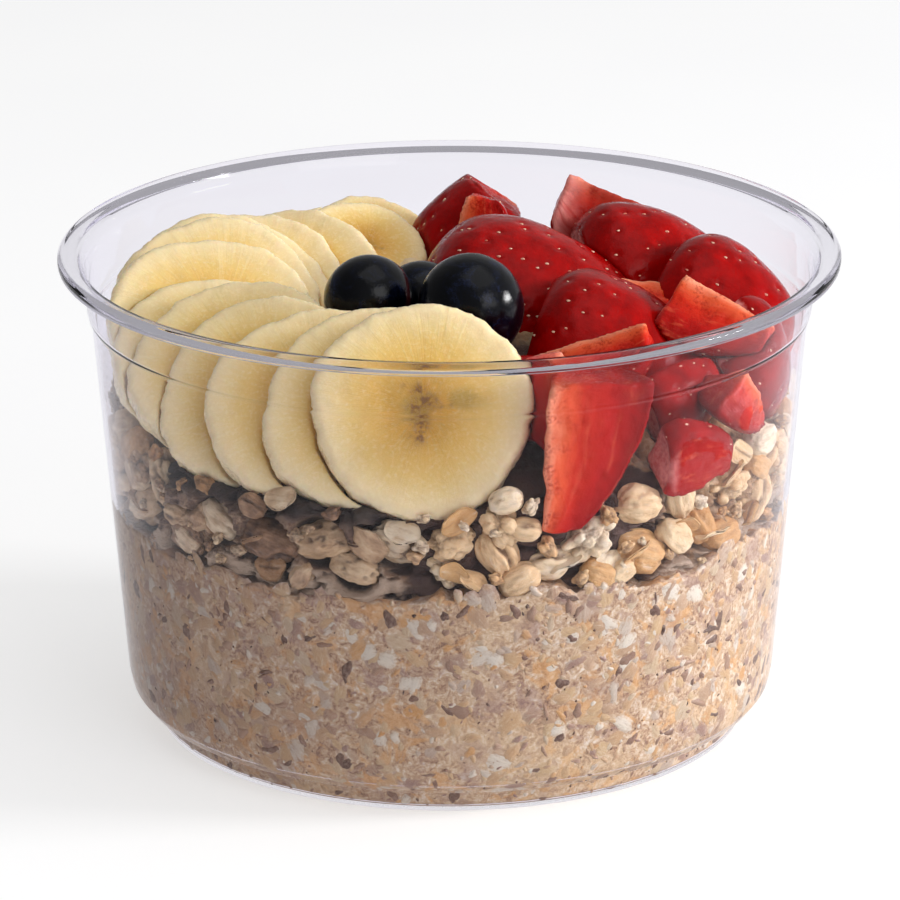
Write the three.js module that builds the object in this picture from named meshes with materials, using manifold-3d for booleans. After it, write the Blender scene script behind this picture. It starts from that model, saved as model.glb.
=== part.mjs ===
// A clear plastic bowl of oatmeal: soaked oats in the bottom, a bed of puffed granola on
// them, and on top a fan of banana slices, cut strawberries and three blueberries.
// Millimetres, +Z up. The origin is the middle of the foot, on the table. The front of the
// bowl, where the first banana slice stands, faces -Y.
import * as THREE from 'three';
import { mergeVertices } from 'three/addons/utils/BufferGeometryUtils.js';
import Module from 'manifold-3d';

const wasm = await Module();
wasm.setup();

// ---------------------------------------------------------------- driving dimensions
const RIM_RADIUS = 58.5;        // outside of the rolled rim
const BOWL_HEIGHT = 73;         // table to the top of the rim
const WALL = 0.7;               // thickness of the plastic
const KICK_UP = 1.5;            // height of the base inside the foot ring
const FOOT = { inner: 41.3, outer: 44.6, slope: 1.3 };        // flat of the hollow ring below
const HEEL = { radius: 49.2, z: 8, curve: 3.4, drop: 4.6 };   // round corner under the wall
const SHOULDER = { radius: 53.66, z: 63.2, step: 0.5 };       // stacking ledge above the wall
const NECK = { radius: 55.2, z: 70 };                         // flared band under the rim
const GAP = 0.3;                // clearance that touching pieces keep
const OATS = { level: 35, swell: 1.3, wave: 7 };              // mean height, and its unevenness
const GRANOLA = { edge: 46, low: 47, high: 61.5 };            // the packed mound, see MOUND
const KERNEL = { long: 4.8, wide: 3.3, spacing: 7.2 };        // half axes, least distance apart
const WALL_TRIES = 6000;        // places tried for a kernel along the wall
const TOP_TRIES = 400;          // and on top of the mound
const SLICE_THICK = 4.7;        // a slice of banana
const BLUEBERRY_RADIUS = 7.4;
const STRAWBERRY = { radius: 14, length: 31 };                // a whole one of size 1

// Sides of the turned shapes
const SIDES = { bowl: 36, surface: 24, slice: 20, berry: 12 };

// ---------------------------------------------------------------- small tools
const vec = (x, y, z) => new THREE.Vector3(x, y, z);
const rad = THREE.MathUtils.degToRad;
const lerp = THREE.MathUtils.lerp;
const onCircle = (r, angle, z) => vec(r * Math.cos(angle), r * Math.sin(angle), z);

// A seeded random draw from 0 to 1.
function randomFrom(seed) {
  let state = seed;
  return () => {
    state = (state + 0x6d2b79f5) | 0;
    let t = Math.imul(state ^ (state >>> 15), 1 | state);
    t = (t + Math.imul(t ^ (t >>> 7), 61 | t)) ^ t;
    return ((t ^ (t >>> 14)) >>> 0) / 4294967296;
  };
}

// Low waves over x and y, from -1 to 1, for a surface that isn't level.
const waves = (x, y, length) =>
  (Math.sin(x / length + 0.7) * Math.cos(y / length - 0.4) +
    Math.sin((x + 2 * y) / (1.7 * length) + 2.1)) / 2;

// A closed three.js geometry as a solid that can be cut and joined.
function solidOf(geometry) {
  const bare = geometry.clone();
  bare.deleteAttribute('normal');
  bare.deleteAttribute('uv');
  const merged = mergeVertices(bare, 1e-4);
  return new wasm.Manifold(new wasm.Mesh({
    numProp: 3,
    vertProperties: merged.attributes.position.array,
    triVerts: new Uint32Array(merged.index.array),
  }));
}

// The largest single body of a solid: cutting can leave loose scraps, which are dropped.
const largest = (solid) => solid.decompose().sort((a, b) => b.volume() - a.volume())[0];

function geometryOf(solid) {
  const mesh = solid.getMesh();
  return new THREE.BufferGeometry()
    .setAttribute('position', new THREE.BufferAttribute(mesh.vertProperties, 3))
    .setIndex(new THREE.BufferAttribute(mesh.triVerts, 1));
}

// Turned about the Z axis from a profile of points [radius, height].
function turned(profile, sides) {
  const points = profile.map(([r, z]) => new THREE.Vector2(r, z));
  return new THREE.LatheGeometry(points, sides).rotateX(Math.PI / 2);
}

// A hollow for a round piece is turned with half its sides, so it is let out to hold it.
const letOut = (r, sides) => (sides < SIDES.berry ? r / Math.cos(Math.PI / sides) : r);

// ---------------------------------------------------------------- the bowl
// The inside of the bowl from the middle of its floor, down into the hollow foot ring and up
// to the top of its wall, moved inwards by a clearance.
const insideOfWall = (clearance) => [
  [0, KICK_UP + WALL + clearance],
  [FOOT.inner - 1 + clearance / 2, KICK_UP + WALL + clearance],
  [FOOT.inner - 1 + FOOT.slope + clearance / 2, WALL + clearance],
  [FOOT.outer - 0.6 - clearance, WALL + clearance],
  [FOOT.outer + 0.3 - clearance, HEEL.z - 4 + clearance],
  [HEEL.radius - 1.6 - clearance, HEEL.z - 2.8 + clearance],
  [HEEL.radius - WALL - clearance, HEEL.z],
  [SHOULDER.radius - WALL - clearance, SHOULDER.z],
];

const innerRadius = (z) => -WALL +
  lerp(HEEL.radius, SHOULDER.radius, (z - HEEL.z) / (SHOULDER.z - HEEL.z));

function bowlGeometry() {
  const heel = [0, 45, 90].map(rad).map((a) => [
    HEEL.radius - HEEL.curve * (1 - Math.sin(a)), HEEL.z - HEEL.drop * Math.cos(a)]);
  const outside = [
    [0, KICK_UP], [FOOT.inner - FOOT.slope, KICK_UP], [FOOT.inner, 0], [FOOT.outer, 0],
    [FOOT.outer + 0.8, HEEL.z - HEEL.drop - 0.3], ...heel,
    [SHOULDER.radius, SHOULDER.z], [SHOULDER.radius + SHOULDER.step, SHOULDER.z + 0.5],
    [NECK.radius, NECK.z], [NECK.radius + 0.8, NECK.z + 1.3],
    [RIM_RADIUS - 0.3, NECK.z + 1.2], [RIM_RADIUS, BOWL_HEIGHT - 0.7],
    [RIM_RADIUS - 0.8, BOWL_HEIGHT],
  ];
  const neckInside = [
    [SHOULDER.radius + SHOULDER.step - WALL, SHOULDER.z + 0.8],
    [NECK.radius - WALL, NECK.z - 0.4], [NECK.radius - 0.2, BOWL_HEIGHT - 0.9],
    [NECK.radius + 0.6, BOWL_HEIGHT - 0.2],
  ];
  const inside = [...insideOfWall(0), ...neckInside];
  return turned([...outside, ...inside.reverse()], SIDES.bowl);
}

// All the room that the contents may fill: inside the wall, and straight up above it.
function room() {
  const neck = NECK.radius - WALL - 2 * GAP;
  return solidOf(turned(
    [...insideOfWall(GAP), [neck, NECK.z], [neck, 2 * BOWL_HEIGHT], [0, 2 * BOWL_HEIGHT]],
    SIDES.bowl));
}

// ---------------------------------------------------------------- the oatmeal
// Everything below the oats' uneven surface, which can be lifted by a clearance.
function underOats(lift) {
  const rings = 4;
  const profile = [[0, -KICK_UP], [2 * RIM_RADIUS, -KICK_UP]];
  for (let k = rings; k >= 0; k--) profile.push([RIM_RADIUS * (k / rings), OATS.level + lift]);
  const geometry = turned(profile, SIDES.surface);
  const at = geometry.attributes.position;
  for (let i = 0; i < at.count; i++) {
    if (at.getZ(i) < OATS.level) continue;
    at.setZ(i, at.getZ(i) + OATS.swell * waves(at.getX(i), at.getY(i), OATS.wave));
  }
  return solidOf(geometry);
}

// ---------------------------------------------------------------- banana slices
// The fan runs from the front of the bowl, round its left side, to the back, and ends in
// small slices from the banana's tip. Each slice is given by its middle, by the way that its
// face looks, as a turn from -Y towards +X and a lift in degrees, and by its radius.
const FAN = [
  { at: [-4, -40, 60], turn: 0, lift: 32, r: 16 },
  { at: [-11, -36.5, 58.5], turn: -3, lift: 40, r: 16 },
  { at: [-19.5, -31.5, 57.5], turn: -7, lift: 45, r: 16 },
  { at: [-26.5, -25, 57.5], turn: -16, lift: 47, r: 16 },
  { at: [-31, -17.5, 58.5], turn: -8, lift: 54, r: 16 },
  { at: [-34, -11, 58], turn: 6, lift: 59, r: 16 },
  { at: [-35.5, -2, 60.5], turn: 12, lift: 53, r: 16 },
  { at: [-35, 5.5, 61], turn: 10, lift: 51, r: 16 },
  { at: [-34, 10.5, 60], turn: 8, lift: 50, r: 16 },
  { at: [-31, 16, 59], turn: -2, lift: 54, r: 16 },
  { at: [-25.5, 21, 58.5], turn: -14, lift: 57, r: 16 },
  { at: [-13.5, 31, 62], turn: 25, lift: 58, r: 10 },
  { at: [-12, 38.5, 60.5], turn: 25, lift: 55, r: 10 },
  { at: [-18, 30, 57.5], turn: -8, lift: 57, r: 15 },
];

// A round of banana with a soft edge and an outline that isn't quite round.
function sliceSolid({ at, turn, lift, r }, grow, sides) {
  const edge = letOut(r + grow, sides);
  const half = SLICE_THICK / 2 + grow;
  const soft = 0.7;
  const geometry = turned(
    [[0, -half], [edge - soft, -half], [edge, 0], [edge - soft, half], [0, half]], sides);
  const point = geometry.attributes.position;
  for (let k = 0; k < point.count; k++) {
    const angle = Math.atan2(point.getY(k), point.getX(k));
    const swell = 1 + 0.022 * Math.sin(3 * angle + turn) + 0.012 * Math.sin(5 * angle + lift);
    point.setXY(k, point.getX(k) * swell, point.getY(k) * swell);
  }
  const [a, b] = [rad(turn), rad(lift)];
  const face = vec(Math.sin(a) * Math.cos(b), -Math.cos(a) * Math.cos(b), Math.sin(b));
  geometry.applyQuaternion(new THREE.Quaternion().setFromUnitVectors(vec(0, 0, 1), face));
  return solidOf(geometry.translate(...at));
}

// ---------------------------------------------------------------- blueberries
const BLUEBERRIES = [
  { at: [-12, -9, 67.3], crown: [-0.4, 1, 0.3], size: 0.91 },
  { at: [3.2, -16, 68.2], crown: [0.6, 1, 0], size: 1.08 },
  { at: [-4, -0.5, 64.3], crown: [0.3, 1, 0.6], size: 0.85 },
];

// A slightly flat ball with the dimple of its crown.
function blueberrySolid({ at, crown, size }, grow, sides) {
  const r = letOut(BLUEBERRY_RADIUS * size + grow, sides);
  const profile = [-90, -60, -30, 0, 30, 60, 75].map(rad).map((a) => [
    Math.max(0, r * Math.cos(a)), 0.93 * r * Math.sin(a)]);
  profile.push([0.12 * r, 0.8 * r], [0, 0.8 * r]);
  const geometry = turned([[0, -0.93 * r], ...profile.slice(1)], sides);
  const stand = new THREE.Quaternion().setFromUnitVectors(vec(0, 0, 1), vec(...crown).normalize());
  return solidOf(geometry.applyQuaternion(stand).translate(...at));
}

// ---------------------------------------------------------------- strawberries
// Each piece is cut from a whole berry: a wedge of so many degrees about the berry's axis,
// between two cross cuts, which are shares of its length from the stalk. The columns are
// the middle of the piece; what of it faces the eye, the skin or a cut side, and the way
// that this looks; the way the berry's tip points; the wedge; the two cuts; the size.
const STRAWBERRIES = [
  [[12, 6, 62], 'skin', [-0.1, -0.5, 0.85], [1, -0.1, -0.12], 150, 0.02, 0.97, 1.18],
  [[25.5, -13, 60], 'skin', [0.05, -0.6, 0.8], [1, -0.3, -0.1], 150, 0.1, 0.95, 0.97],
  [[31.5, 20, 64], 'skin', [0.1, -0.5, 0.85], [1, 0.2, 0], 160, 0.1, 0.95, 0.86],
  [[42.5, 6, 61.5], 'skin', [0.2, -0.4, 0.9], [1, -0.4, -0.3], 150, 0.1, 0.9, 0.85],
  [[39.5, -12, 64.3], 'cut', [0.1, -0.8, 0.6], [1, -0.2, -0.6], 90, 0.25, 0.9, 0.75],
  [[30.5, 1, 63], 'cut', [0, -0.5, 0.85], [1, 0, -0.1], 80, 0.2, 0.8, 0.65],
  [[21, -31, 63.5], 'cut', [-0.3, -0.6, 0.75], [1, -0.25, 0.55], 80, 0.1, 0.85, 0.75],
  [[15, -38, 59.5], 'cut', [0, -0.9, 0.3], [0.2, 0, -1], 90, 0.2, 0.95, 0.66],
  [[18, -44, 55.4], 'far cut', [0.36, -0.93, 0], [-0.04, 0, -1], 62, 0.34, 0.93, 1.17],
  [[35.5, -35, 51.5], 'skin', [0.5, -0.8, 0.2], [1, 0.5, -0.1], 100, 0.15, 0.9, 0.55],
  [[43, -27, 55.5], 'cut', [0.7, -0.7, 0.2], [0.5, 0.3, -1], 80, 0.35, 1, 0.58],
  [[3.5, 37, 62.5], 'skin', [-0.6, -0.6, 0.4], [0.5, 0, 1], 110, 0.1, 0.7, 0.85],
  [[4.5, 28, 62], 'cut', [-0.2, -0.9, 0.3], [0.2, 0, 1], 90, 0.2, 0.9, 0.88],
  [[26, 33, 66.3], 'cut', [0.05, -0.85, 0.45], [1, 0, -0.45], 85, 0.08, 0.8, 0.85],
  [[34, -24, 57], 'skin', [0.5, -0.8, 0.1], [0.8, 0.5, 0.3], 100, 0.15, 0.9, 0.6],
  [[45, -8, 56], 'skin', [1, -0.5, 0.2], [0.2, 0.6, -0.8], 110, 0.1, 0.9, 0.75],
  [[44, 20, 54], 'skin', [1, 0.5, 0.2], [-0.4, 0.8, -0.2], 110, 0.1, 0.9, 0.8],
  [[31, 38, 54], 'cut', [0.6, 0.8, 0.1], [0.8, -0.6, -0.5], 90, 0.2, 1, 0.85],
  [[14, 44, 54], 'skin', [0.2, 1, 0.2], [1, -0.2, -0.2], 120, 0.1, 0.9, 0.7],
  [[15, 22, 58.5], 'skin', [0, 0, 1], [0.6, 1, 0], 130, 0.1, 0.9, 0.75],
  [[14, -25, 56.5], 'skin', [0, -0.2, 1], [1, 0.5, 0], 130, 0.1, 0.9, 0.8],
  [[35, -1, 55], 'cut', [0, 0, 1], [0.3, -1, 0], 110, 0.1, 0.9, 0.85],
].map(([at, shows, look, tip, wedge, from, to, size]) =>
  ({ at, shows, look, tip, wedge: rad(wedge), from, to, size }));

// Radius of a berry, as a share of its widest, at a share of its length from the stalk.
const WIDEST = 0.3;
function berryRadius(share) {
  if (share < WIDEST) return Math.sqrt(1 - (1 - share / WIDEST) ** 2);
  return (1 - ((share - WIDEST) / (1 - WIDEST)) ** 1.8) ** 0.62;
}

// Places a piece that was made with its berry's tip along z and the middle of its skin
// along x. A cut side looks away from the skin's middle by a right angle and half the wedge.
function berryFrame({ at, shows, look, tip, wedge }, middle) {
  const x = vec(...look).normalize();
  const z = vec(...tip);
  z.addScaledVector(x, -z.dot(x)).normalize();
  const swing = { skin: 0, cut: 1, 'far cut': -1 }[shows] * (Math.PI / 2 + wedge / 2);
  x.applyAxisAngle(z, swing);
  return new THREE.Matrix4().makeTranslation(...at)
    .multiply(new THREE.Matrix4().makeBasis(x, z.clone().cross(x), z))
    .multiply(new THREE.Matrix4().makeTranslation(middle.negate()));
}

function strawberrySolid(piece, grow, sides) {
  const { wedge, from, to, size } = piece;
  const long = STRAWBERRY.length * size;
  const wide = STRAWBERRY.radius * size;
  const skin = [0.08, 0.22, 0.42, 0.63, 0.84].map((share) => [
    letOut(wide * berryRadius(share) + grow, sides), share * long]);
  const body = solidOf(turned([[0, -grow], ...skin, [0, long + grow]], sides));

  // The knife's wedge, with its edge moved back so that both cut sides grow alike
  const half = wedge / 2;
  const edge = -grow / Math.sin(half);
  const reach = 3 * wide;
  const sector = new THREE.Shape([new THREE.Vector2(edge, 0)]);
  for (const share of [-1, -0.5, 0, 0.5, 1]) {
    sector.lineTo(edge + reach * Math.cos(half * share), reach * Math.sin(half * share));
  }
  const low = from * long - grow;
  const high = to < 1 ? to * long + grow : long + reach;
  const knife = new THREE.ExtrudeGeometry(sector, { depth: high - low, bevelEnabled: false });
  const wedged = body.intersect(solidOf(knife.translate(0, 0, low)));
  const middle = vec((0.45 * wide * Math.sin(half)) / half, 0, (long * (from + to)) / 2);
  return wedged.transform(berryFrame(piece, middle).elements);
}

// ---------------------------------------------------------------- granola
// Under the fruit the granola is one packed mound, whose top falls from its middle to its
// edge. Points are [share of the edge's radius, height].
const MOUND = [[1, GRANOLA.low], [0.9, 53], [0.76, 57.5], [0.4, 60.5], [0, GRANOLA.high]];

// The kernels and lumps that stand out along the front of the wall, from left to right: the
// angle in the bowl, the height, the turn of the long axis from level, and the size.
const FRONT_KERNELS = [
  [-149, 45, 70, 0.8], [-133, 42.5, 30, 0.84], [-122, 41, 10, 0.95], [-112, 42.5, -15, 0.88],
  [-106, 39, 15, 0.76], [-99, 43, 20, 0.81], [-90, 43.2, -20, 0.8], [-91, 38.5, 30, 0.6],
  [-82, 41.5, 60, 0.85], [-79, 47, 60, 0.75], [-73, 39, 0, 0.75], [-66, 42.5, -20, 0.94],
  [-56, 46, 10, 0.85], [-47, 45.5, 80, 0.76], [-42, 40.5, 60, 0.85], [-34, 44.5, 10, 0.95],
  [-27, 48.5, 0, 0.9], [-23, 40, -50, 0.99],
];

function granolaMound() {
  const foot = OATS.level - 3 * OATS.swell;
  const top = MOUND.map(([share, z]) => [share * GRANOLA.edge, z]);
  return solidOf(turned([[0, foot], [GRANOLA.edge, foot], ...top], SIDES.surface));
}

// One puffed kernel. It lies along the wall, which it meets at the angle `around`, with its
// long axis at `turn` from level.
function kernelSolid(middle, around, turn, size) {
  const geometry = new THREE.IcosahedronGeometry(size, 0);
  geometry.scale(KERNEL.long, KERNEL.wide, KERNEL.wide);
  geometry.rotateY(turn).rotateZ(around + Math.PI / 2);
  return solidOf(geometry.translate(middle.x, middle.y, middle.z));
}

// ---------------------------------------------------------------- building it
const object = new THREE.Group();
object.name = 'bowl_of_oatmeal';

const finish = (color, roughness, extra = {}) =>
  new THREE.MeshStandardMaterial({ color, roughness, metalness: 0, ...extra });
const MATERIALS = {
  plastic: finish('#e9ebf4', 0.05, { transparent: true, opacity: 0.3 }),
  oats: finish('#c9ad8c', 0.6),
  granola: finish('#d3b18a', 0.85),
  banana: finish('#f0d795', 0.5),
  blueberry: finish('#1a2036', 0.35),
  strawberry: finish('#b3140f', 0.25),
};

function add(name, geometry, material) {
  const mesh = new THREE.Mesh(geometry, material);
  mesh.name = name;
  object.add(mesh);
}

add('bowl', bowlGeometry(), MATERIALS.plastic);

const inBowl = room();
add('oatmeal', geometryOf(largest(inBowl.intersect(underOats(0)))), MATERIALS.oats);

// Each piece of fruit is trimmed by those before it, where soft fruit presses together.
const placed = [];
const hollows = [];
function placeFruit(kind, pieces, shape, sides) {
  pieces.forEach((piece, i) => {
    let solid = shape(piece, 0, sides).intersect(inBowl);
    for (const other of placed) solid = solid.subtract(other);
    placed.push(shape(piece, GAP, sides));
    hollows.push(shape(piece, GAP, sides / 2));
    add(`${kind}_${i + 1}`, geometryOf(largest(solid)), MATERIALS[kind]);
  });
}
placeFruit('banana', FAN, sliceSolid, SIDES.slice);
placeFruit('blueberry', BLUEBERRIES, blueberrySolid, SIDES.berry);
placeFruit('strawberry', STRAWBERRIES, strawberrySolid, SIDES.berry);

// The granola is fitted to the oats and the fruit, and a kernel that would cross either, or
// crowd another kernel, is left out.
const fruit = hollows.reduce((all, solid) => all.add(solid));
const oats = underOats(GAP);
const draw = randomFrom(11);
const kernels = [];
function tryKernel(middle, around, turn = 1.6 * (draw() - 0.5), size = 0.85 + 0.25 * draw()) {
  if (kernels.some((other) => other.middle.distanceTo(middle) < KERNEL.spacing * size)) return;
  const solid = kernelSolid(middle, around, turn, size);
  if (!solid.intersect(fruit).isEmpty() || !solid.intersect(oats).isEmpty()) return;
  kernels.push({ middle, solid: solid.intersect(inBowl) });
}
const byWall = (around, z) => onCircle(innerRadius(z) - GAP - 0.95 * KERNEL.wide, around, z);
for (const [degrees, z, turn, size] of FRONT_KERNELS) {
  const around = rad(degrees);
  tryKernel(byWall(around, z), around, rad(turn), size);
}
for (let tries = 0; tries < WALL_TRIES; tries++) {
  const around = 2 * Math.PI * draw();
  const z = lerp(OATS.level + KERNEL.wide, GRANOLA.low + KERNEL.wide, draw());
  tryKernel(byWall(around, z), around);
}
for (let tries = 0; tries < TOP_TRIES; tries++) {
  const around = 2 * Math.PI * draw();
  const share = Math.sqrt(draw());
  const inner = MOUND.findIndex(([s]) => s <= share);
  const [[s0, z0], [s1, z1]] = [MOUND[inner - 1], MOUND[inner]];
  const z = lerp(z0, z1, (share - s0) / (s1 - s0)) + 0.15 * KERNEL.wide;
  tryKernel(onCircle(share * GRANOLA.edge, around, z), around);
}
let granola = largest(granolaMound().subtract(oats).subtract(fruit));
for (const { solid } of kernels) granola = granola.add(solid);
add('granola', geometryOf(largest(granola)), MATERIALS.granola);

export default object;
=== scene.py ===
# The looks of a clear plastic bowl of oatmeal: soaked oats, a bed of granola, and on top a
# fan of banana slices, cut strawberries and three blueberries. Shapes are worked out in
# millimetres and made in metres.
import math
import random

import bmesh
import bpy
import numpy as np
from mathutils import Matrix, Vector, noise
from mathutils.bvhtree import BVHTree
from mathutils.kdtree import KDTree


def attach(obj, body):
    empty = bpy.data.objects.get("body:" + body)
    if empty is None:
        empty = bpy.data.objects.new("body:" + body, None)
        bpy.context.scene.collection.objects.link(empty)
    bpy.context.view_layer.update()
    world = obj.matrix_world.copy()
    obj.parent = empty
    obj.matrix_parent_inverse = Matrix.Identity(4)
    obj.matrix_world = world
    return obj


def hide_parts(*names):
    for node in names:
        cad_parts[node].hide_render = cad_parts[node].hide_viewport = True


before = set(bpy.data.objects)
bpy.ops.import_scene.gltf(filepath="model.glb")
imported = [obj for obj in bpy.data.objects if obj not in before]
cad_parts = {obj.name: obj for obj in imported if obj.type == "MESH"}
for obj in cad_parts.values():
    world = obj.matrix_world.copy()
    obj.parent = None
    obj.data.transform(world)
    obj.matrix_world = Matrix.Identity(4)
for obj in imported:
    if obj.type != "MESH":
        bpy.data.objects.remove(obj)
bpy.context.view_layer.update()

MM = 0.001

# ---------------------------------------------------------------- dimensions
RIM_RADIUS = 58.5
BOWL_HEIGHT = 73
WALL = 0.7
KICK_UP = 1.5
FOOT_INNER, FOOT_OUTER, FOOT_SLOPE = 41.3, 44.6, 1.3
HEEL_RADIUS, HEEL_Z, HEEL_CURVE, HEEL_DROP = 49.2, 8, 3.4, 4.6
SHOULDER_RADIUS, SHOULDER_Z, SHOULDER_STEP = 53.66, 63.2, 0.5
NECK_RADIUS, NECK_Z = 55.2, 70
GAP = 0.3
OAT_LEVEL, OAT_SWELL, OAT_WAVE = 35, 1.3, 7
MOUND_EDGE = 46
MOUND = [(1, 47), (0.9, 53), (0.76, 57.5), (0.4, 60.5), (0, 61.5)]
KERNEL_LONG, KERNEL_WIDE, KERNEL_SPACING = 4.8, 3.3, 7.2
SLICE_THICK = 4.7
BLUEBERRY_RADIUS = 7.4
BERRY_RADIUS, BERRY_LENGTH = 14, 31
PASTE_IN_WALL = 0.12                # how far the oats reach into the plastic
BED_TOP = 46.5                      # where the granola's core leaves the wall
KERNEL_SEED = 11
GOLDEN_ANGLE = 2.39996              # radians from one seed to the next
BERRY_WIDEST = 0.3                  # where a berry is widest, as a share of its length
SEEDS_ON_BERRY = 230
FINE_GRID, BERRY_GRID = 0.36, 0.22  # size of the meshes' cells on cut fruit and on blueberries

# Slices of banana: middle, turn from -Y towards +X, lift, radius.
FAN = [
    ((-4, -40, 60), 0, 32, 16), ((-11, -36.5, 58.5), -3, 40, 16),
    ((-19.5, -31.5, 57.5), -7, 45, 16), ((-26.5, -25, 57.5), -16, 47, 16),
    ((-31, -17.5, 58.5), -8, 54, 16), ((-34, -11, 58), 6, 59, 16),
    ((-35.5, -2, 60.5), 12, 53, 16), ((-35, 5.5, 61), 10, 51, 16),
    ((-34, 10.5, 60), 8, 50, 16), ((-31, 16, 59), -2, 54, 16),
    ((-25.5, 21, 58.5), -14, 57, 16), ((-13.5, 31, 62), 25, 58, 10),
    ((-12, 38.5, 60.5), 25, 55, 10), ((-18, 30, 57.5), -8, 57, 15),
]

# What stands out of the granola along the front of the wall, from left to right: the angle
# in the bowl, the height, the turn of the long axis from level, the size, and what it is.
FRONT_GRANOLA = [
    (-149, 45, 70, 0.8, "soaked"), (-133, 42.5, 30, 0.84, "kernel"),
    (-122, 41, 10, 0.95, "soaked"), (-112, 42.5, -15, 0.88, "soaked"),
    (-106, 39, 15, 0.76, "soaked"), (-99, 43, 20, 0.81, "soaked"),
    (-90, 43.2, -20, 0.8, "lump"), (-91, 38.5, 30, 0.6, "lump"), (-82, 41.5, 60, 0.85, "kernel"),
    (-79, 47, 60, 0.75, "kernel"), (-73, 39, 0, 0.75, "kernel"), (-66, 42.5, -20, 0.94, "lump"),
    (-56, 46, 10, 0.85, "kernel"), (-47, 45.5, 80, 0.76, "kernel"),
    (-42, 40.5, 60, 0.85, "kernel"), (-34, 44.5, 10, 0.95, "lump"), (-27, 48.5, 0, 0.9, "kernel"),
    (-23, 40, -50, 0.99, "kernel"),
]

# Blueberries: middle, the way the crown looks, size.
BLUEBERRIES = [
    ((-12, -9, 67.3), (-0.4, 1, 0.3), 0.91),
    ((3.2, -16, 68.2), (0.6, 1, 0), 1.08),
    ((-4, -0.5, 64.3), (0.3, 1, 0.6), 0.85),
]

# Pieces of strawberry: middle, what faces the eye and the way it looks, the way the tip
# points, the wedge in degrees, the two cross cuts as shares of the length, the size.
STRAWBERRIES = [
    ((12, 6, 62), "skin", (-0.1, -0.5, 0.85), (1, -0.1, -0.12), 150, 0.02, 0.97, 1.18),
    ((25.5, -13, 60), "skin", (0.05, -0.6, 0.8), (1, -0.3, -0.1), 150, 0.1, 0.95, 0.97),
    ((31.5, 20, 64), "skin", (0.1, -0.5, 0.85), (1, 0.2, 0), 160, 0.1, 0.95, 0.86),
    ((42.5, 6, 61.5), "skin", (0.2, -0.4, 0.9), (1, -0.4, -0.3), 150, 0.1, 0.9, 0.85),
    ((39.5, -12, 64.3), "cut", (0.1, -0.8, 0.6), (1, -0.2, -0.6), 90, 0.25, 0.9, 0.75),
    ((30.5, 1, 63), "cut", (0, -0.5, 0.85), (1, 0, -0.1), 80, 0.2, 0.8, 0.65),
    ((21, -31, 63.5), "cut", (-0.3, -0.6, 0.75), (1, -0.25, 0.55), 80, 0.1, 0.85, 0.75),
    ((15, -38, 59.5), "cut", (0, -0.9, 0.3), (0.2, 0, -1), 90, 0.2, 0.95, 0.66),
    ((18, -44, 55.4), "far cut", (0.36, -0.93, 0), (-0.04, 0, -1), 62, 0.34, 0.93, 1.17),
    ((35.5, -35, 51.5), "skin", (0.5, -0.8, 0.2), (1, 0.5, -0.1), 100, 0.15, 0.9, 0.55),
    ((43, -27, 55.5), "cut", (0.7, -0.7, 0.2), (0.5, 0.3, -1), 80, 0.35, 1, 0.58),
    ((3.5, 37, 62.5), "skin", (-0.6, -0.6, 0.4), (0.5, 0, 1), 110, 0.1, 0.7, 0.85),
    ((4.5, 28, 62), "cut", (-0.2, -0.9, 0.3), (0.2, 0, 1), 90, 0.2, 0.9, 0.88),
    ((26, 33, 66.3), "cut", (0.05, -0.85, 0.45), (1, 0, -0.45), 85, 0.08, 0.8, 0.85),
    ((34, -24, 57), "skin", (0.5, -0.8, 0.1), (0.8, 0.5, 0.3), 100, 0.15, 0.9, 0.6),
    ((45, -8, 56), "skin", (1, -0.5, 0.2), (0.2, 0.6, -0.8), 110, 0.1, 0.9, 0.75),
    ((44, 20, 54), "skin", (1, 0.5, 0.2), (-0.4, 0.8, -0.2), 110, 0.1, 0.9, 0.8),
    ((31, 38, 54), "cut", (0.6, 0.8, 0.1), (0.8, -0.6, -0.5), 90, 0.2, 1, 0.85),
    ((14, 44, 54), "skin", (0.2, 1, 0.2), (1, -0.2, -0.2), 120, 0.1, 0.9, 0.7),
    ((15, 22, 58.5), "skin", (0, 0, 1), (0.6, 1, 0), 130, 0.1, 0.9, 0.75),
    ((14, -25, 56.5), "skin", (0, -0.2, 1), (1, 0.5, 0), 130, 0.1, 0.9, 0.8),
    ((35, -1, 55), "cut", (0, 0, 1), (0.3, -1, 0), 110, 0.1, 0.9, 0.85),
]


# The row, from 0, of the piece that is dark red right through but for the stalk's end
RIPE_THROUGH = 13


# ---------------------------------------------------------------- shader language
def colour(code):
    """A hex colour as the linear numbers that a shader takes."""
    parts = [int(code[k:k + 2], 16) / 255 for k in (1, 3, 5)]
    return (*[p / 12.92 if p < 0.04045 else ((p + 0.055) / 1.055) ** 2.4 for p in parts], 1)


class Socket:
    """A shader's output. Sums and products of such values add Math nodes."""

    def __init__(self, finish, link):
        self.finish, self.link = finish, link

    def math(self, operation, *others):
        return self.finish.add("Math", {"operation": operation}, dict(enumerate([self, *others])))

    def __add__(self, other):
        return self.math("ADD", other)

    def __sub__(self, other):
        return self.math("SUBTRACT", other)

    def __rsub__(self, other):
        return self.finish.add("Math", {"operation": "SUBTRACT"}, {0: other, 1: self})

    def __mul__(self, other):
        return self.math("MULTIPLY", other)

    __radd__ = __add__
    __rmul__ = __mul__

    def step(self, low, high, bottom=0.0, top=1.0):
        """Rises smoothly from bottom to top as the value goes from low to high."""
        settings = {"interpolation_type": "SMOOTHSTEP"}
        return self.finish.add("MapRange", settings, dict(enumerate([self, low, high, bottom, top])))


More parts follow.
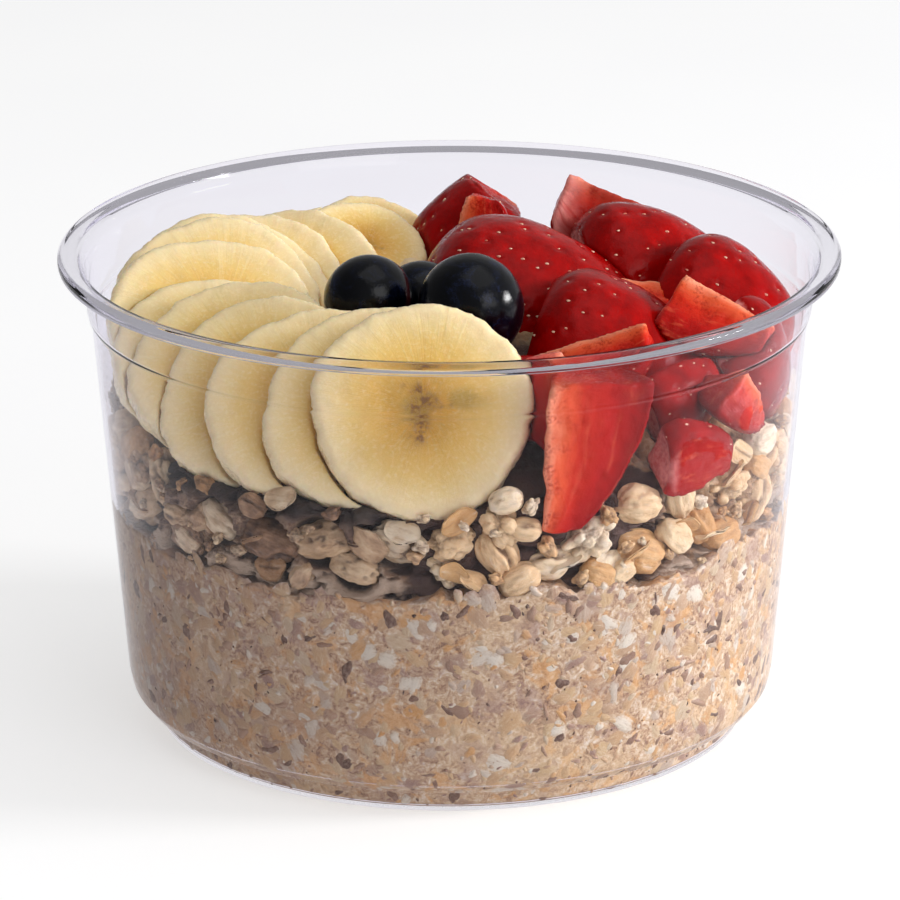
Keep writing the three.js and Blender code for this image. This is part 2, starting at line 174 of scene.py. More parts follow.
class Finish:
    """One material, put together by the function that gives its name and its shader."""

    def __init__(self, make):
        self.material = bpy.data.materials.new(make.__name__)
        self.material.use_nodes = True
        self.tree = self.material.node_tree
        self.tree.nodes.clear()
        output = self.tree.nodes.new("ShaderNodeOutputMaterial")
        self.tree.links.new(make(self).link, output.inputs["Surface"])

    def add(self, kind, settings=None, sockets=None, out=0):
        """A node of a kind, with its settings made first and then its sockets."""
        node = self.tree.nodes.new("ShaderNode" + kind)
        for key, value in (settings or {}).items():
            if key == "stops":
                ramp = node.color_ramp.elements
                while len(ramp) < len(value):
                    ramp.new(0.5)
                for element, (place, code) in zip(ramp, value):
                    element.position, element.color = place, colour(code)
            else:
                setattr(node, key, value)
        for key, value in (sockets or {}).items():
            if isinstance(value, Socket):
                self.tree.links.new(value.link, node.inputs[key])
            else:
                node.inputs[key].default_value = value
        return Socket(self, node.outputs[out])

    def place(self):
        """Where a point is in the object's own space, in millimetres."""
        spot = self.add("TexCoord", out="Object")
        return self.add("VectorMath", {"operation": "SCALE"}, {0: spot, "Scale": 1 / MM})

    def stored(self, name, out="Fac"):
        """A number or a vector that the mesh carries."""
        return self.add("Attribute", {"attribute_name": name}, out=out)

    def noise(self, where, scale, detail=3.0, roughness=0.5, distortion=0.0):
        return self.add("TexNoise", {}, {
            "Vector": where, "Scale": scale, "Detail": detail, "Roughness": roughness,
            "Distortion": distortion})

    def stretched(self, where, x, y, z):
        return self.add("VectorMath", {"operation": "MULTIPLY"}, {0: where, 1: (x, y, z)})

    def ramp(self, value, *stops):
        return self.add("ValToRGB", {"stops": stops}, {0: value})

    def mix(self, share, a, b, blend="MIX"):
        a, b = [colour(c) if isinstance(c, str) else c for c in (a, b)]
        return self.add("Mix", {"data_type": "RGBA", "blend_type": blend}, {0: share, 6: a, 7: b},
                        out=2)

    def bump(self, height, strength, distance):
        return self.add("Bump", {}, {"Height": height, "Strength": strength,
                                     "Distance": distance * MM})

    def across(self, where):
        """A place without its third number, and how far it is from the middle."""
        flat = self.stretched(where, 1, 1, 0)
        return flat, self.add("VectorMath", {"operation": "LENGTH"}, {0: flat}, out="Value")

    def surface(self, **sockets):
        names = {key.replace("_", " "): value for key, value in sockets.items()}
        return self.add("BsdfPrincipled", {}, names)


# ---------------------------------------------------------------- finishes
def clear_plastic(f):
    """Thin clear moulded plastic. Lamps shine through it without being bent."""
    body = f.add("BsdfGlass", {}, {"Color": (0.942, 0.935, 0.965, 1), "Roughness": 0.0,
                                   "IOR": 1.2})
    through = f.add("BsdfTransparent", {}, {"Color": (0.965, 0.965, 0.975, 1)})
    shadow = f.add("LightPath", out="Is Shadow Ray")
    scattered = f.add("LightPath", out="Is Diffuse Ray")
    return f.add("MixShader", {}, {0: shadow.math("MAXIMUM", scattered), 1: body, 2: through})


def banana_flesh(f):
    place = f.stored("slice_place", "Vector")     # across the face in radii, and its side
    flat, out = f.across(place)
    ray = f.add("VectorMath", {"operation": "NORMALIZE"}, {0: flat})
    away = f.add("CombineXYZ", {}, {0: out * 1.5, 2: f.stored("slice_number") * 3.1})
    along_ray = f.add("VectorMath", {"operation": "ADD"}, {0: f.stretched(ray, 9, 9, 9), 1: away})
    streaks = f.noise(along_ray, 2.4, 5, 0.66)
    spot = f.place()
    mottle = f.noise(spot, 0.24, 4, 0.6)
    fine = f.noise(spot, 1.9, 4, 0.65)
    uneven = out + (streaks - 0.5) * 0.12 + (mottle - 0.5) * 0.14
    heart = uneven.step(0.12, 0.6, 1, 0)
    base = f.ramp(uneven, (0, "#d69830"), (0.22, "#e0a844"), (0.45, "#e8bb62"), (0.64, "#ecc87a"),
                  (0.8, "#f1d69a"), (1, "#f4dfb6"))
    base = f.mix(fine.step(0.5, 0.75) * 0.35, base, "#f8e8c0")
    base = f.mix(streaks.step(0.54, 0.74) * 0.3, base, "#f8e6b8")
    base = f.mix(streaks.step(0.48, 0.3) * heart * 0.55, base, "#bb7f26")
    soft = f.stored("soft_spot") * (streaks + mottle).step(0.7, 1.15)
    ripe = f.stored("ripe_spot") * fine.step(0.3, 0.7) * 1.5
    base = f.mix(soft.math("MINIMUM", 0.7), base, "#a5893f")
    base = f.mix(ripe.math("MINIMUM", 0.85), base, "#74451b")
    return f.surface(
        Base_Color=base, Roughness=fine.step(0.3, 0.7, 0.16, 0.34), Subsurface_Weight=0.3,
        Subsurface_Radius=(1.0, 0.55, 0.22), Subsurface_Scale=0.0025, IOR=1.38,
        Normal=f.bump(streaks * 0.6 + fine * 0.3, 0.4, 0.35))


def strawberry_flesh(f):
    place = f.stored("berry_place", "Vector")     # across the berry in radii, and along it
    _, out = f.across(place)
    skin = f.stored("skin")
    spot = f.place()
    mottle = f.noise(spot, 0.35, 4, 0.6)
    fine = f.noise(spot, 2.2, 3, 0.65)
    fibres = f.noise(f.stretched(place, 7, 7, 3), 1.5, 3, 0.6)
    depth = out + (fibres - 0.5) * 0.22
    cut = f.ramp(depth, (0, "#f09674"), (0.14, "#de5a34"), (0.34, "#c62812"), (0.6, "#b01008"),
                 (0.85, "#980704"), (1, "#780403"))
    cut = f.mix(fibres.step(0.52, 0.7) * 0.4, cut, "#e06040")
    cut = f.mix((fine + mottle).step(1.0, 0.72) * 0.6, cut, "#960805")
    cut = f.mix(f.stored("pale") * fibres.step(0.3, 0.6, 0.5, 1), cut, "#ef9d96")
    rind = f.mix(mottle.step(0.15, 0.85), "#7c0203", "#a80504")
    rind = f.mix(fine.step(0.55, 0.8) * 0.12, rind, "#bb1a0c")
    return f.surface(
        Base_Color=f.mix(skin, cut, rind), Roughness=0.27 - skin * 0.17 + (fine - 0.5) * 0.06,
        Subsurface_Weight=0.15, Subsurface_Radius=(1.0, 0.12, 0.06), Subsurface_Scale=0.002,
        IOR=1.33, Specular_IOR_Level=0.2,
        Normal=f.bump(fine * 0.6 + (fibres + mottle) * (0.9 - skin * 0.8), 0.35, 0.3))


def strawberry_seed(f):
    grain = f.noise(f.place(), 1.2, 3, 0.6)
    # The seeds are reddish; the pale end of the ramp is a painted glint.
    return f.surface(
        Base_Color=f.ramp(grain, (0.35, "#c4563c"), (0.6, "#f2d0b2")), Roughness=0.12,
        Coat_Weight=0.6, Coat_Roughness=0.05, Normal=f.bump(grain, 0.2, 0.1))


def blueberry_skin(f):
    spot = f.place()
    bloom = f.noise(spot, 0.28, 5, 0.62, 0.6)
    fine = f.noise(spot, 2.6, 3, 0.7)
    base = f.mix(bloom.step(0.48, 0.74) * fine.step(0.25, 0.75), "#020308", "#18213e")
    base = f.mix(f.stored("crown") * 0.7, base, "#14121f")
    return f.surface(
        Base_Color=base, Roughness=bloom.step(0.35, 0.7, 0.03, 0.14), IOR=1.33,
        Specular_IOR_Level=0.38, Normal=f.bump(fine + bloom, 0.16, 0.2))


def dry_grain(f):
    """Puffed and toasted grain, with brown streaks and specks. Its dips and creases are darker: painted
    shade.
    """
    spot = f.place()
    tone = f.stored("tone")
    hollow = f.stored("hollow")
    wet = f.stored("wet")
    mottle = f.noise(spot, 0.45, 4, 0.62)
    fine = f.noise(spot, 2.4, 4, 0.7)
    fibres = f.noise(f.stretched(f.stored("grain_place", "Vector"), 0.22, 1.1, 1.1), 1, 5, 0.7)
    base = f.ramp(tone + (mottle - 0.5) * 0.6, (0, "#c38a4e"), (0.25, "#d8a76d"),
                  (0.5, "#e6bf8f"), (0.8, "#f0d4a9"), (1, "#f7e5c8"))
    base = f.mix(fibres.step(0.5, 0.3) * 0.5, base, "#a87a4e")
    base = f.mix(fibres.step(0.56, 0.72) * 0.5, base, "#f3e3cb")
    # painted shade in each grain's dips and creases
    base = f.mix(hollow * 0.85, base, "#5e3a22")
    base = f.mix(fine.step(0.6, 0.8) * 0.35, base, "#8c5a2c")
    soaked = f.ramp(mottle + (tone - 0.5) * 0.6 + (fibres - 0.5) * 0.8, (0.25, "#5e412f"),
                    (0.45, "#8c6a52"), (0.62, "#b49273"), (0.85, "#d4ba98"))
    # soaked grain is a darker brown, with near-black painted shade in its dips and creases
    base = f.mix(wet * 0.9, base, f.mix(hollow * 0.85, soaked, "#241714"))
    return f.surface(
        Base_Color=base, Roughness=0.7 - wet * 0.3, Subsurface_Weight=0.12,
        Subsurface_Radius=(1, 0.6, 0.3), Subsurface_Scale=0.0015,
        Normal=f.bump(fibres * 1.2 + fine * 0.8 + mottle * 0.5, 0.6, 0.4))


def wet_bed(f):
    """What lies between the grains: soaked and sticky, with near-black painted shade in its gaps, under
    the slices and by the first slice.
    """
    spot = f.place()
    mottle = f.noise(spot, 0.3, 5, 0.65, 0.5)
    fine = f.noise(spot, 1.3, 5, 0.72)
    wet = f.stored("wet")
    grain = mottle + (fine - 0.5) * 0.7
    soaked = f.ramp(grain, (0.3, "#513829"), (0.44, "#806350"), (0.56, "#a5876c"), (0.7, "#c8b094"))
    dry = f.ramp(grain, (0.3, "#9a7250"), (0.5, "#c79f75"), (0.7, "#e2c8a2"))
    milky = f.stored("milky") + (mottle - 0.5) * 2
    hollow = f.stored("hollow") * 1.2 + (fine - 0.5) * 0.6
    base = f.mix(milky.step(0.3, 0.6), f.mix(wet, dry, soaked), "#bea58d")
    # painted shade, near black, in the gaps and under the fruit
    base = f.mix(hollow.step(0.25, 0.9) * 0.92, base, f.mix(wet, "#402829", "#170e0e"))
    return f.surface(Base_Color=base, Roughness=0.5, Normal=f.bump(mottle + fine, 0.8, 0.7))


# How far light goes into oats that have soaked in milk
MILKY = {"Subsurface_Weight": 0.12, "Subsurface_Radius": (1, 0.7, 0.45), "Subsurface_Scale": 0.001}


def paste_colour(f, spot):
    """Milk and broken oats: tan, with grey, pinkish and golden patches and dark specks."""
    patch = f.noise(spot, 0.22, 4, 0.65, 0.8)
    mottle = f.noise(spot, 0.62, 6, 0.72, 1.2)
    fine = f.noise(spot, 2.1, 5, 0.75, 0.5)
    base = f.ramp(mottle + (fine - 0.5) * 0.5, (0.32, "#735041"), (0.42, "#a68266"),
                  (0.5, "#c3a383"), (0.58, "#d2ba9f"), (0.68, "#e3d6c8"))
    base = f.mix(patch.step(0.53, 0.62) * 0.6, base, "#d39a58")
    base = f.mix(patch.step(0.46, 0.36) * 0.5, base, "#9f817a")
    wide = f.noise(spot, 0.06, 3, 0.6, 0.5)
    base = f.mix(wide.step(0.5, 0.62) * 0.35, base, "#e0c29a")
    base = f.mix(wide.step(0.46, 0.34) * 0.4, base, "#917368")
    return f.mix(fine.step(0.38, 0.3) * 0.6, base, "#6b4535")


def oat_paste(f):
    """What lies between the flakes, with painted shade on the left."""
    spot = f.place()
    relief = f.noise(spot, 0.9, 4, 0.65)
    base = f.mix(f.stored("shade") * 0.5, paste_colour(f, spot), "#6b5046")
    return f.surface(
        Base_Color=base, Roughness=0.5, **MILKY, Normal=f.bump(relief, 0.4, 0.3))


def oat_flake(f):
    """A soaked flake: streaked along its grain, and fading into the paste at its edge."""
    spot = f.place()
    grain = f.stored("grain_place", "Vector")     # across the flake in millimetres
    streaks = f.noise(f.stretched(grain, 0.5, 2.2, 1), 1.3, 5, 0.7, 0.6)
    fine = f.noise(spot, 2.4, 4, 0.75)
    base = f.ramp(f.stored("tone"), (0, "#94746a"), (0.16, "#b08f74"), (0.32, "#c19c72"),
                  (0.48, "#c6a67e"), (0.62, "#c0ab92"), (0.74, "#c89254"), (0.84, "#b5a08f"),
                  (0.94, "#d8ccbc"))
    lines = streaks + (fine - 0.5) * 0.5
    base = f.mix(lines.step(0.5, 0.8) * 0.6, base, "#e6d6be")
    base = f.mix(lines.step(0.48, 0.24) * 0.65, base, "#8d674e")
    whole = (f.stored("core") + (fine - 0.5) * 1.2 + (streaks - 0.5)).step(0.05, 0.7)
    base = f.mix(whole, paste_colour(f, spot), base)
    # painted shade on the left
    base = f.mix(f.stored("shade") * 0.5, base, "#6b5046")
    return f.surface(
        Base_Color=base, Roughness=0.5, **MILKY, Normal=f.bump(streaks + fine * 0.5, 0.3, 0.3))


def bran(f):
    grain = f.noise(f.place(), 1.5, 3, 0.6)
    base = f.ramp(f.stored("tone"), (0, "#2e1d18"), (0.25, "#573b2f"), (0.6, "#7d5d4d"), (1, "#a08069"))
    base = f.mix(grain.step(0.4, 0.7) * 0.4, base, "#a08878")
    return f.surface(Base_Color=base, Roughness=0.5, Normal=f.bump(grain, 0.3, 0.2))


def studio_floor(f):
    grain = f.noise(f.place(), 0.01, 2)
    return f.surface(Base_Color=f.ramp(grain, (0.2, "#b6b6b8"), (0.8, "#bcbcbc")),
                            Roughness=0.7, Emission_Color=(1, 1, 1, 1), Emission_Strength=0.58)


FINISH = {make.__name__: Finish(make).material for make in (
    clear_plastic, banana_flesh, strawberry_flesh, strawberry_seed, blueberry_skin, dry_grain,
    wet_bed, oat_paste, oat_flake, bran, studio_floor)}


# ---------------------------------------------------------------- shape tools
def ease(value, low, high):
    """Goes evenly from 0 at low to 1 at high, and stays level beyond them."""
    return np.clip((value - low) / (high - low), 0, 1)


def bell(value, wide):
    return np.exp(-((value / wide) ** 2))


def about_axis(points):
    """How far points are from the Z axis, and at what angle about it."""
    return np.hypot(points[:, 0], points[:, 1]), np.arctan2(points[:, 1], points[:, 0])


def at_angle(r, around, z):
    """The point or points at a distance from the Z axis, an angle about it and a height."""
    return np.stack([r * np.cos(around), r * np.sin(around), z], -1)


def facing(at, way):
    """Matrix that turns z towards a way and then moves to a place."""
    turn = Vector((0, 0, 1)).rotation_difference(Vector(way).normalized())
    return Matrix.Translation(at) @ turn.to_matrix().to_4x4()


def moved(matrix, points):
    m = np.array(matrix)
    return np.asarray(points) @ m[:3, :3].T + m[:3, 3]


def joined(parts):
    """Points and faces of many small shapes as one, with which shape each point is of."""
    points, faces, which, start = [], [], [], 0
    for number, (p, f) in enumerate(parts):
        points.append(p)
        faces += [[start + k for k in face] for face in f]
        which.append(np.full(len(p), number))
        start += len(p)
    return np.concatenate(points), faces, np.concatenate(which)


def as_object(name, points, faces):
    """A mesh object from points in millimetres."""
    mesh = bpy.data.meshes.new(name)
    mesh.from_pydata((np.asarray(points, float) * MM).tolist(), [], faces)
    piece = bpy.data.objects.new(name, mesh)
    bpy.context.scene.collection.objects.link(piece)
    return piece


def points_of(piece):
    """The points of a mesh object, in millimetres."""
    flat = np.empty(3 * len(piece.data.vertices))
    piece.data.vertices.foreach_get("co", flat)
    return flat.reshape(-1, 3) / MM


def move_points(piece, points):
    piece.data.vertices.foreach_set("co", (points * MM).ravel())
    piece.data.update()


def store(piece, name, values):
    """Keeps a number or a vector for each point, for the finish to read."""
    values = np.asarray(values, float)
    kind, key = ("FLOAT", "value") if values.ndim == 1 else ("FLOAT_VECTOR", "vector")
    piece.data.attributes.new(name, kind, "POINT").data.foreach_set(key, values.ravel())


def finished(piece, finish, slot, *nodes):
    """Gives a piece its finish and its place in the frame."""
    piece.data.materials.clear()
    piece.data.materials.append(FINISH[finish])
    piece.data.polygons.foreach_set("use_smooth", [True] * len(piece.data.polygons))
    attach(piece, "root")
    if nodes:
        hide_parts(*nodes)
    return piece


def turned(profile, sides):
    """Points and faces of a profile [radius, height] turned about the Z axis."""
    points, rows, faces = [], [], []
    turns = [2 * math.pi * k / sides for k in range(sides)]
    for r, z in profile:
        start = len(points)
        if r < 1e-6:
            points.append((0, 0, z))
            rows.append([start] * sides)
        else:
            points += [(r * math.cos(a), r * math.sin(a), z) for a in turns]
            rows.append(list(range(start, start + sides)))
    for low, high in zip(rows, rows[1:]):
        for k in range(sides):
            n = (k + 1) % sides
            faces.append(list(dict.fromkeys([low[k], low[n], high[n], high[k]])))
    return np.array(points), faces


def softened(profile, reach, steps=4):
    """A profile with its corners rounded, within a reach of each corner."""
    profile = [np.array(p, float) for p in profile]
    soft = [profile[0]]
    for before, corner, after in zip(profile, profile[1:], profile[2:]):
        ends = []
        for other in (before, after):
            way = other - corner
            ends.append(corner + way * min(0.45, reach / np.linalg.norm(way)))
        for t in np.linspace(0, 1, steps + 1):
            soft.append((1 - t) ** 2 * ends[0] + 2 * t * (1 - t) * corner + t ** 2 * ends[1])
    return [tuple(p) for p in soft + [profile[-1]]]


def add_trim(piece, tool, operation):
    trim = piece.modifiers.new("trim", "BOOLEAN")
    trim.object, trim.operation, trim.solver = tool, operation, "MANIFOLD"


def settle(piece):
    """Makes what the modifiers do to a piece its real shape."""
    graph = bpy.context.evaluated_depsgraph_get()
    mesh = bpy.data.meshes.new_from_object(piece.evaluated_get(graph))
    piece.modifiers.clear()
    piece.data = mesh


def keep_largest(piece):
    """Drops the loose scraps of a cut piece."""
    shape = bmesh.new()
    shape.from_mesh(piece.data)
    left, bodies = set(shape.verts), []
    while left:
        body, edge = set(), [left.pop()]
        while edge:
            vert = edge.pop()
            body.add(vert)
            for link in vert.link_edges:
                other = link.other_vert(vert)
                if other in left:
                    left.discard(other)
                    edge.append(other)
        bodies.append(body)
    for body in sorted(bodies, key=len)[:-1]:
        bmesh.ops.delete(shape, geom=list(body), context="VERTS")
    shape.to_mesh(piece.data)
    shape.free()


def discard(*pieces):
    for piece in pieces:
        bpy.data.objects.remove(piece)


def rough(points, scale, seed=0.0, octaves=3):
    """Noise at points, about -1 to 1, with lumps of about 1 / scale."""
    shift = Vector((seed * 7.31, seed * 3.17, seed * 5.73))
    return np.array([noise.fractal(Vector(p) * scale + shift, 0.8, 2.1, octaves) for p in points])


def waves(x, y, length):
    return (np.sin(x / length + 0.7) * np.cos(y / length - 0.4) +
            np.sin((x + 2 * y) / (1.7 * length) + 2.1)) / 2


# ---------------------------------------------------------------- bowl
def inside_of_wall(clearance):
    """From the middle of the floor, down into the hollow foot ring and up the wall."""
    return [(0, KICK_UP + WALL + clearance),
            (FOOT_INNER - 1 + clearance / 2, KICK_UP + WALL + clearance),
            (FOOT_INNER - 1 + FOOT_SLOPE + clearance / 2, WALL + clearance),
            (FOOT_OUTER - 0.6 - clearance, WALL + clearance),
            (FOOT_OUTER + 0.3 - clearance, HEEL_Z - 4 + clearance),
            (HEEL_RADIUS - 1.6 - clearance, HEEL_Z - 2.8 + clearance),
            (HEEL_RADIUS - WALL - clearance, HEEL_Z),
            (SHOULDER_RADIUS - WALL - clearance, SHOULDER_Z)]


def inner_radius(z):
    share = (z - HEEL_Z) / (SHOULDER_Z - HEEL_Z)
    return HEEL_RADIUS - WALL + share * (SHOULDER_RADIUS - HEEL_RADIUS)


def make_bowl():
    heel = [(HEEL_RADIUS - HEEL_CURVE * (1 - math.sin(a)), HEEL_Z - HEEL_DROP * math.cos(a))
            for a in np.radians([0, 30, 60, 90])]
    outside = [
        (0, KICK_UP), (FOOT_INNER - FOOT_SLOPE, KICK_UP), (FOOT_INNER, 0), (FOOT_OUTER, 0),
        (FOOT_OUTER + 0.8, HEEL_Z - HEEL_DROP - 0.3), *heel, (SHOULDER_RADIUS, SHOULDER_Z),
        (SHOULDER_RADIUS + SHOULDER_STEP, SHOULDER_Z + 0.5), (NECK_RADIUS, NECK_Z),
        (NECK_RADIUS + 0.7, NECK_Z + 1.5), (RIM_RADIUS - 0.5, NECK_Z + 1.6),
        (RIM_RADIUS - 0.3, NECK_Z + 1.1), (RIM_RADIUS, NECK_Z + 1.4), (RIM_RADIUS, BOWL_HEIGHT - 0.6),
        (RIM_RADIUS - 0.7, BOWL_HEIGHT), (RIM_RADIUS - 1.5, BOWL_HEIGHT - 0.15)]
    inside = inside_of_wall(0) + [
        (SHOULDER_RADIUS + SHOULDER_STEP - WALL, SHOULDER_Z + 0.8), (NECK_RADIUS - WALL, NECK_Z - 0.4),
        (NECK_RADIUS - 0.1, BOWL_HEIGHT - 0.9), (NECK_RADIUS + 0.7, BOWL_HEIGHT - 0.35)]
    profile = softened(outside + inside[::-1], 0.3, 3)
    bowl = as_object("clear_bowl", *turned(profile, 192))
    return finished(bowl, "clear_plastic", "plastic", "bowl")


make_bowl()

neck = NECK_RADIUS - WALL - 2 * GAP
room = as_object("room", *turned(
    inside_of_wall(GAP) + [(neck, NECK_Z), (neck, 2 * BOWL_HEIGHT), (0, 2 * BOWL_HEIGHT)], 128))


# ---------------------------------------------------------------- fruit
def cut_fruit(name, index, grid=FINE_GRID):
    """A piece of fruit, trimmed by the bowl and by the pieces that were placed before it."""
    points, faces = shapes[index](0)
    piece = as_object(name, points, faces)
    low, high = points.min(0) - 1, points.max(0) + 1
    tools = [(room, "INTERSECT")]
    for make in shapes[:index]:
        other, other_faces = make(GAP)
        if (other.max(0) < low).any() or (other.min(0) > high).any():
            continue
        tools.append((as_object("tool", other, other_faces), "DIFFERENCE"))
    for tool, operation in tools:
        add_trim(piece, tool, operation)
    settle(piece)
    keep_largest(piece)
    even = piece.modifiers.new("even", "REMESH")
    even.mode, even.voxel_size = "VOXEL", grid * MM
    soft = piece.modifiers.new("soft", "SMOOTH")
    soft.factor, soft.iterations = 0.5, 6
    settle(piece)
    keep_largest(piece)
    discard(*[tool for tool, _ in tools[1:]])
    return piece


def slice_frame(slice_):
    """Matrix from a slice's own space, with its face along z, to the bowl's."""
    at, turn, lift, _ = slice_
    a, b = math.radians(turn), math.radians(lift)
    return facing(at, (math.sin(a) * math.cos(b), -math.cos(a) * math.cos(b), math.sin(b)))


def slice_swell(angle, turn, lift):
    return 1 + 0.022 * np.sin(3 * angle + turn) + 0.012 * np.sin(5 * angle + lift)


def slice_shape(slice_):
    def make(grow):
        _, turn, lift, r = slice_
        half, edge = SLICE_THICK / 2 + grow, r + grow
        profile = [(0, half), (edge - 1.1, half), (edge - 0.5, half - 0.2), (edge - 0.1, half - 0.8)]
        profile = [(r, -z) for r, z in profile] + [(edge, 0)] + profile[::-1]
        points, faces = turned(profile, 120)
        _, angle = about_axis(points)
        ragged = 0.006 * np.sin(13 * angle + turn) + 0.005 * np.sin(22 * angle + lift)
        points[:, :2] *= (slice_swell(angle, turn, lift) + ragged)[:, None]
        return moved(slice_frame(slice_), points), faces
    return make


def blueberry_shape(berry):
    def make(grow):
        at, crown, size = berry
        r = BLUEBERRY_RADIUS * size + grow
        profile = [(r * math.cos(a), 0.93 * r * math.sin(a))
                   for a in np.radians(np.linspace(-90, 90, 33))]
        profile[0], profile[-1] = (0, -0.93 * r), (0, 0.93 * r)
        points, faces = turned(profile, 64)
        return moved(facing(at, crown), points), faces
    return make


def berry_radius(share):
    """Radius of a berry as a share of its widest, at a share of its length from the stalk."""
    if share < BERRY_WIDEST:
        return math.sqrt(max(0, 1 - (1 - share / BERRY_WIDEST) ** 2))
    return max(0, 1 - ((share - BERRY_WIDEST) / (1 - BERRY_WIDEST)) ** 1.8) ** 0.62


def berry_frame(piece):
    """Matrix from a berry's own space, with its tip along z, to the bowl's."""
    at, shows, look, tip, wedge, start, end, size = piece
    half = math.radians(wedge) / 2
    x, z = Vector(look).normalized(), Vector(tip)
    z = (z - x * z.dot(x)).normalized()
    swing = {"skin": 0, "cut": 1, "far cut": -1}[shows] * (math.pi / 2 + half)
    x = Matrix.Rotation(swing, 3, z) @ x
    middle = Vector((0.45 * BERRY_RADIUS * size * math.sin(half) / half, 0,
                     BERRY_LENGTH * size * (start + end) / 2))
    basis = Matrix((x, z.cross(x), z)).transposed().to_4x4()
    return Matrix.Translation(at) @ basis @ Matrix.Translation(-middle)


def strawberry_shape(piece):
    def make(grow):
        *_, wedge, start, end, size = piece
        long, wide = BERRY_LENGTH * size, BERRY_RADIUS * size
        skin = [(wide * berry_radius(s) + grow, s * long) for s in np.linspace(0.015, 0.985, 28)]
        body = as_object("berry", *turned([(0, -grow), *skin, (0, long + grow)], 72))
        half = math.radians(wedge) / 2
        edge, reach = -grow / math.sin(half), 3 * wide
        sector = [(edge, 0)] + [(edge + reach * math.cos(half * s), reach * math.sin(half * s))
                                for s in (-1, -0.5, 0, 0.5, 1)]
        low = start * long - grow
        high = end * long + grow if end < 1 else long + reach
        count = len(sector)
        sides = [[k, (k + 1) % count, (k + 1) % count + count, k + count] for k in range(count)]
        faces = [list(range(count))[::-1], [k + count for k in range(count)], *sides]
        knife = as_object("knife", [(x, y, z) for z in (low, high) for x, y in sector], faces)
        add_trim(body, knife, "INTERSECT")
        settle(body)
        points = moved(berry_frame(piece), points_of(body))
        faces = [list(face.vertices) for face in body.data.polygons]
        discard(body, knife)
        return points, faces
    return make


shapes = ([slice_shape(s) for s in FAN] + [blueberry_shape(b) for b in BLUEBERRIES] +
          [strawberry_shape(s) for s in STRAWBERRIES])


# Ripe spots on a slice's face, in radii: across, up, half width, half height, and the kind.
RIPE_SPOTS = {
    0: [(-0.02, 0.18, 0.06, 0.05, "brown"), (0.04, 0.07, 0.1, 0.06, "brown"),
        (-0.06, 0.0, 0.07, 0.06, "brown"), (0.0, -0.13, 0.06, 0.08, "brown"),
        (-0.02, -0.25, 0.05, 0.07, "brown"), (0.34, 0.08, 0.2, 0.1, "olive"),
        (0.0, 0.0, 0.3, 0.3, "olive")],
    11: [(0.0, 0.05, 0.16, 0.12, "olive"), (0.0, 0.0, 0.06, 0.05, "brown")],
    13: [(0.1, 0.2, 0.3, 0.2, "olive"), (0.1, 0.2, 0.1, 0.05, "brown")],
    6: [(0.0, 0.3, 0.3, 0.12, "olive")],
}


def dress_slice(index):
    slice_ = FAN[index]
    _, turn, lift, r = slice_
    piece = cut_fruit(f"banana_slice_{index + 1}", index)
    to_bowl = slice_frame(slice_)
    own = moved(to_bowl.inverted(), points_of(piece))
    out, angle = about_axis(own)
    out /= r * slice_swell(angle, turn, lift)
    side = own[:, 2] / (SLICE_THICK / 2)
    flat = own * (1, 1, 0) + (0, 0, 3 * index)
    warp = 0.16 * rough(flat, 0.11, index) + 0.05 * rough(flat, 0.5, index + 9)
    lobes = 0.16 + 0.03 * np.cos(3 * angle + turn)
    dip = 0.22 * bell(out, lobes)
    own[:, 2] += warp - np.sign(side) * dip * (np.abs(side) > 0.5)
    ring = at_angle(16, angle, 1.6 * side + 5 * index)
    chips = 1 - 0.016 * (0.5 + rough(ring, 0.42, index, 4)) - 0.006 * rough(ring, 1.3, index, 2)
    own[:, :2] *= (1 + (chips - 1) * ease(out, 0.75, 0.9))[:, None]
    move_points(piece, moved(to_bowl, own))
    face = at_angle(out, angle, side)
    store(piece, "slice_place", face)
    store(piece, "slice_number", np.full(len(own), float(index)))
    spots = {"brown": np.zeros(len(own)), "olive": np.zeros(len(own))}

    def add_spot(x, y, wide, tall, kind, strength=1):
        glow = strength * bell(face[:, 0] - x, wide) * bell(face[:, 1] - y, tall)
        spots[kind] = np.maximum(spots[kind], glow)

    for k in range(3):                             # the seeds, in three rows from the middle
        for d in (0.1, 0.17, 0.26):
            a = 2 * math.pi * k / 3 + turn + 0.5 * d
            add_spot(d * math.cos(a), d * math.sin(a), 0.03, 0.03, "brown", 0.5)
    for spot in RIPE_SPOTS.get(index, []):
        add_spot(*spot)
    store(piece, "ripe_spot", spots["brown"])
    store(piece, "soft_spot", spots["olive"])
    return finished(piece, "banana_flesh", "banana", f"banana_{index + 1}")


def dress_blueberry(index):
    at, crown, _ = BLUEBERRIES[index]
    piece = cut_fruit(f"blueberry_skin_{index + 1}", len(FAN) + index, BERRY_GRID)
    to_bowl = facing(at, crown)
    own = moved(to_bowl.inverted(), points_of(piece))
    flat, angle = about_axis(own)
    beside = np.arctan2(flat, own[:, 2]) - 0.34 - 0.05 * np.cos(5 * angle)   # past the star's edge
    lip = 0.05 * bell(beside, 0.06)
    well = 0.11 * ease(beside, -0.03, -0.11)
    own *= (1 + lip - well + 0.006 * rough(own, 0.25, index))[:, None]
    move_points(piece, moved(to_bowl, own))
    store(piece, "crown", ease(beside, 0.05, 0))
    return finished(piece, "blueberry_skin", "blueberry", f"blueberry_{index + 1}")


# One seed, a small drop of about unit size that points along z
SEED_POINTS, SEED_FACES = turned(
    [(0, -0.72), *[(0.42 * math.sin(a) * (1 - 0.25 * math.cos(a)), -0.72 * math.cos(a))
                   for a in np.radians([36, 72, 108, 144])], (0, 0.72)], 8)
seeds = []


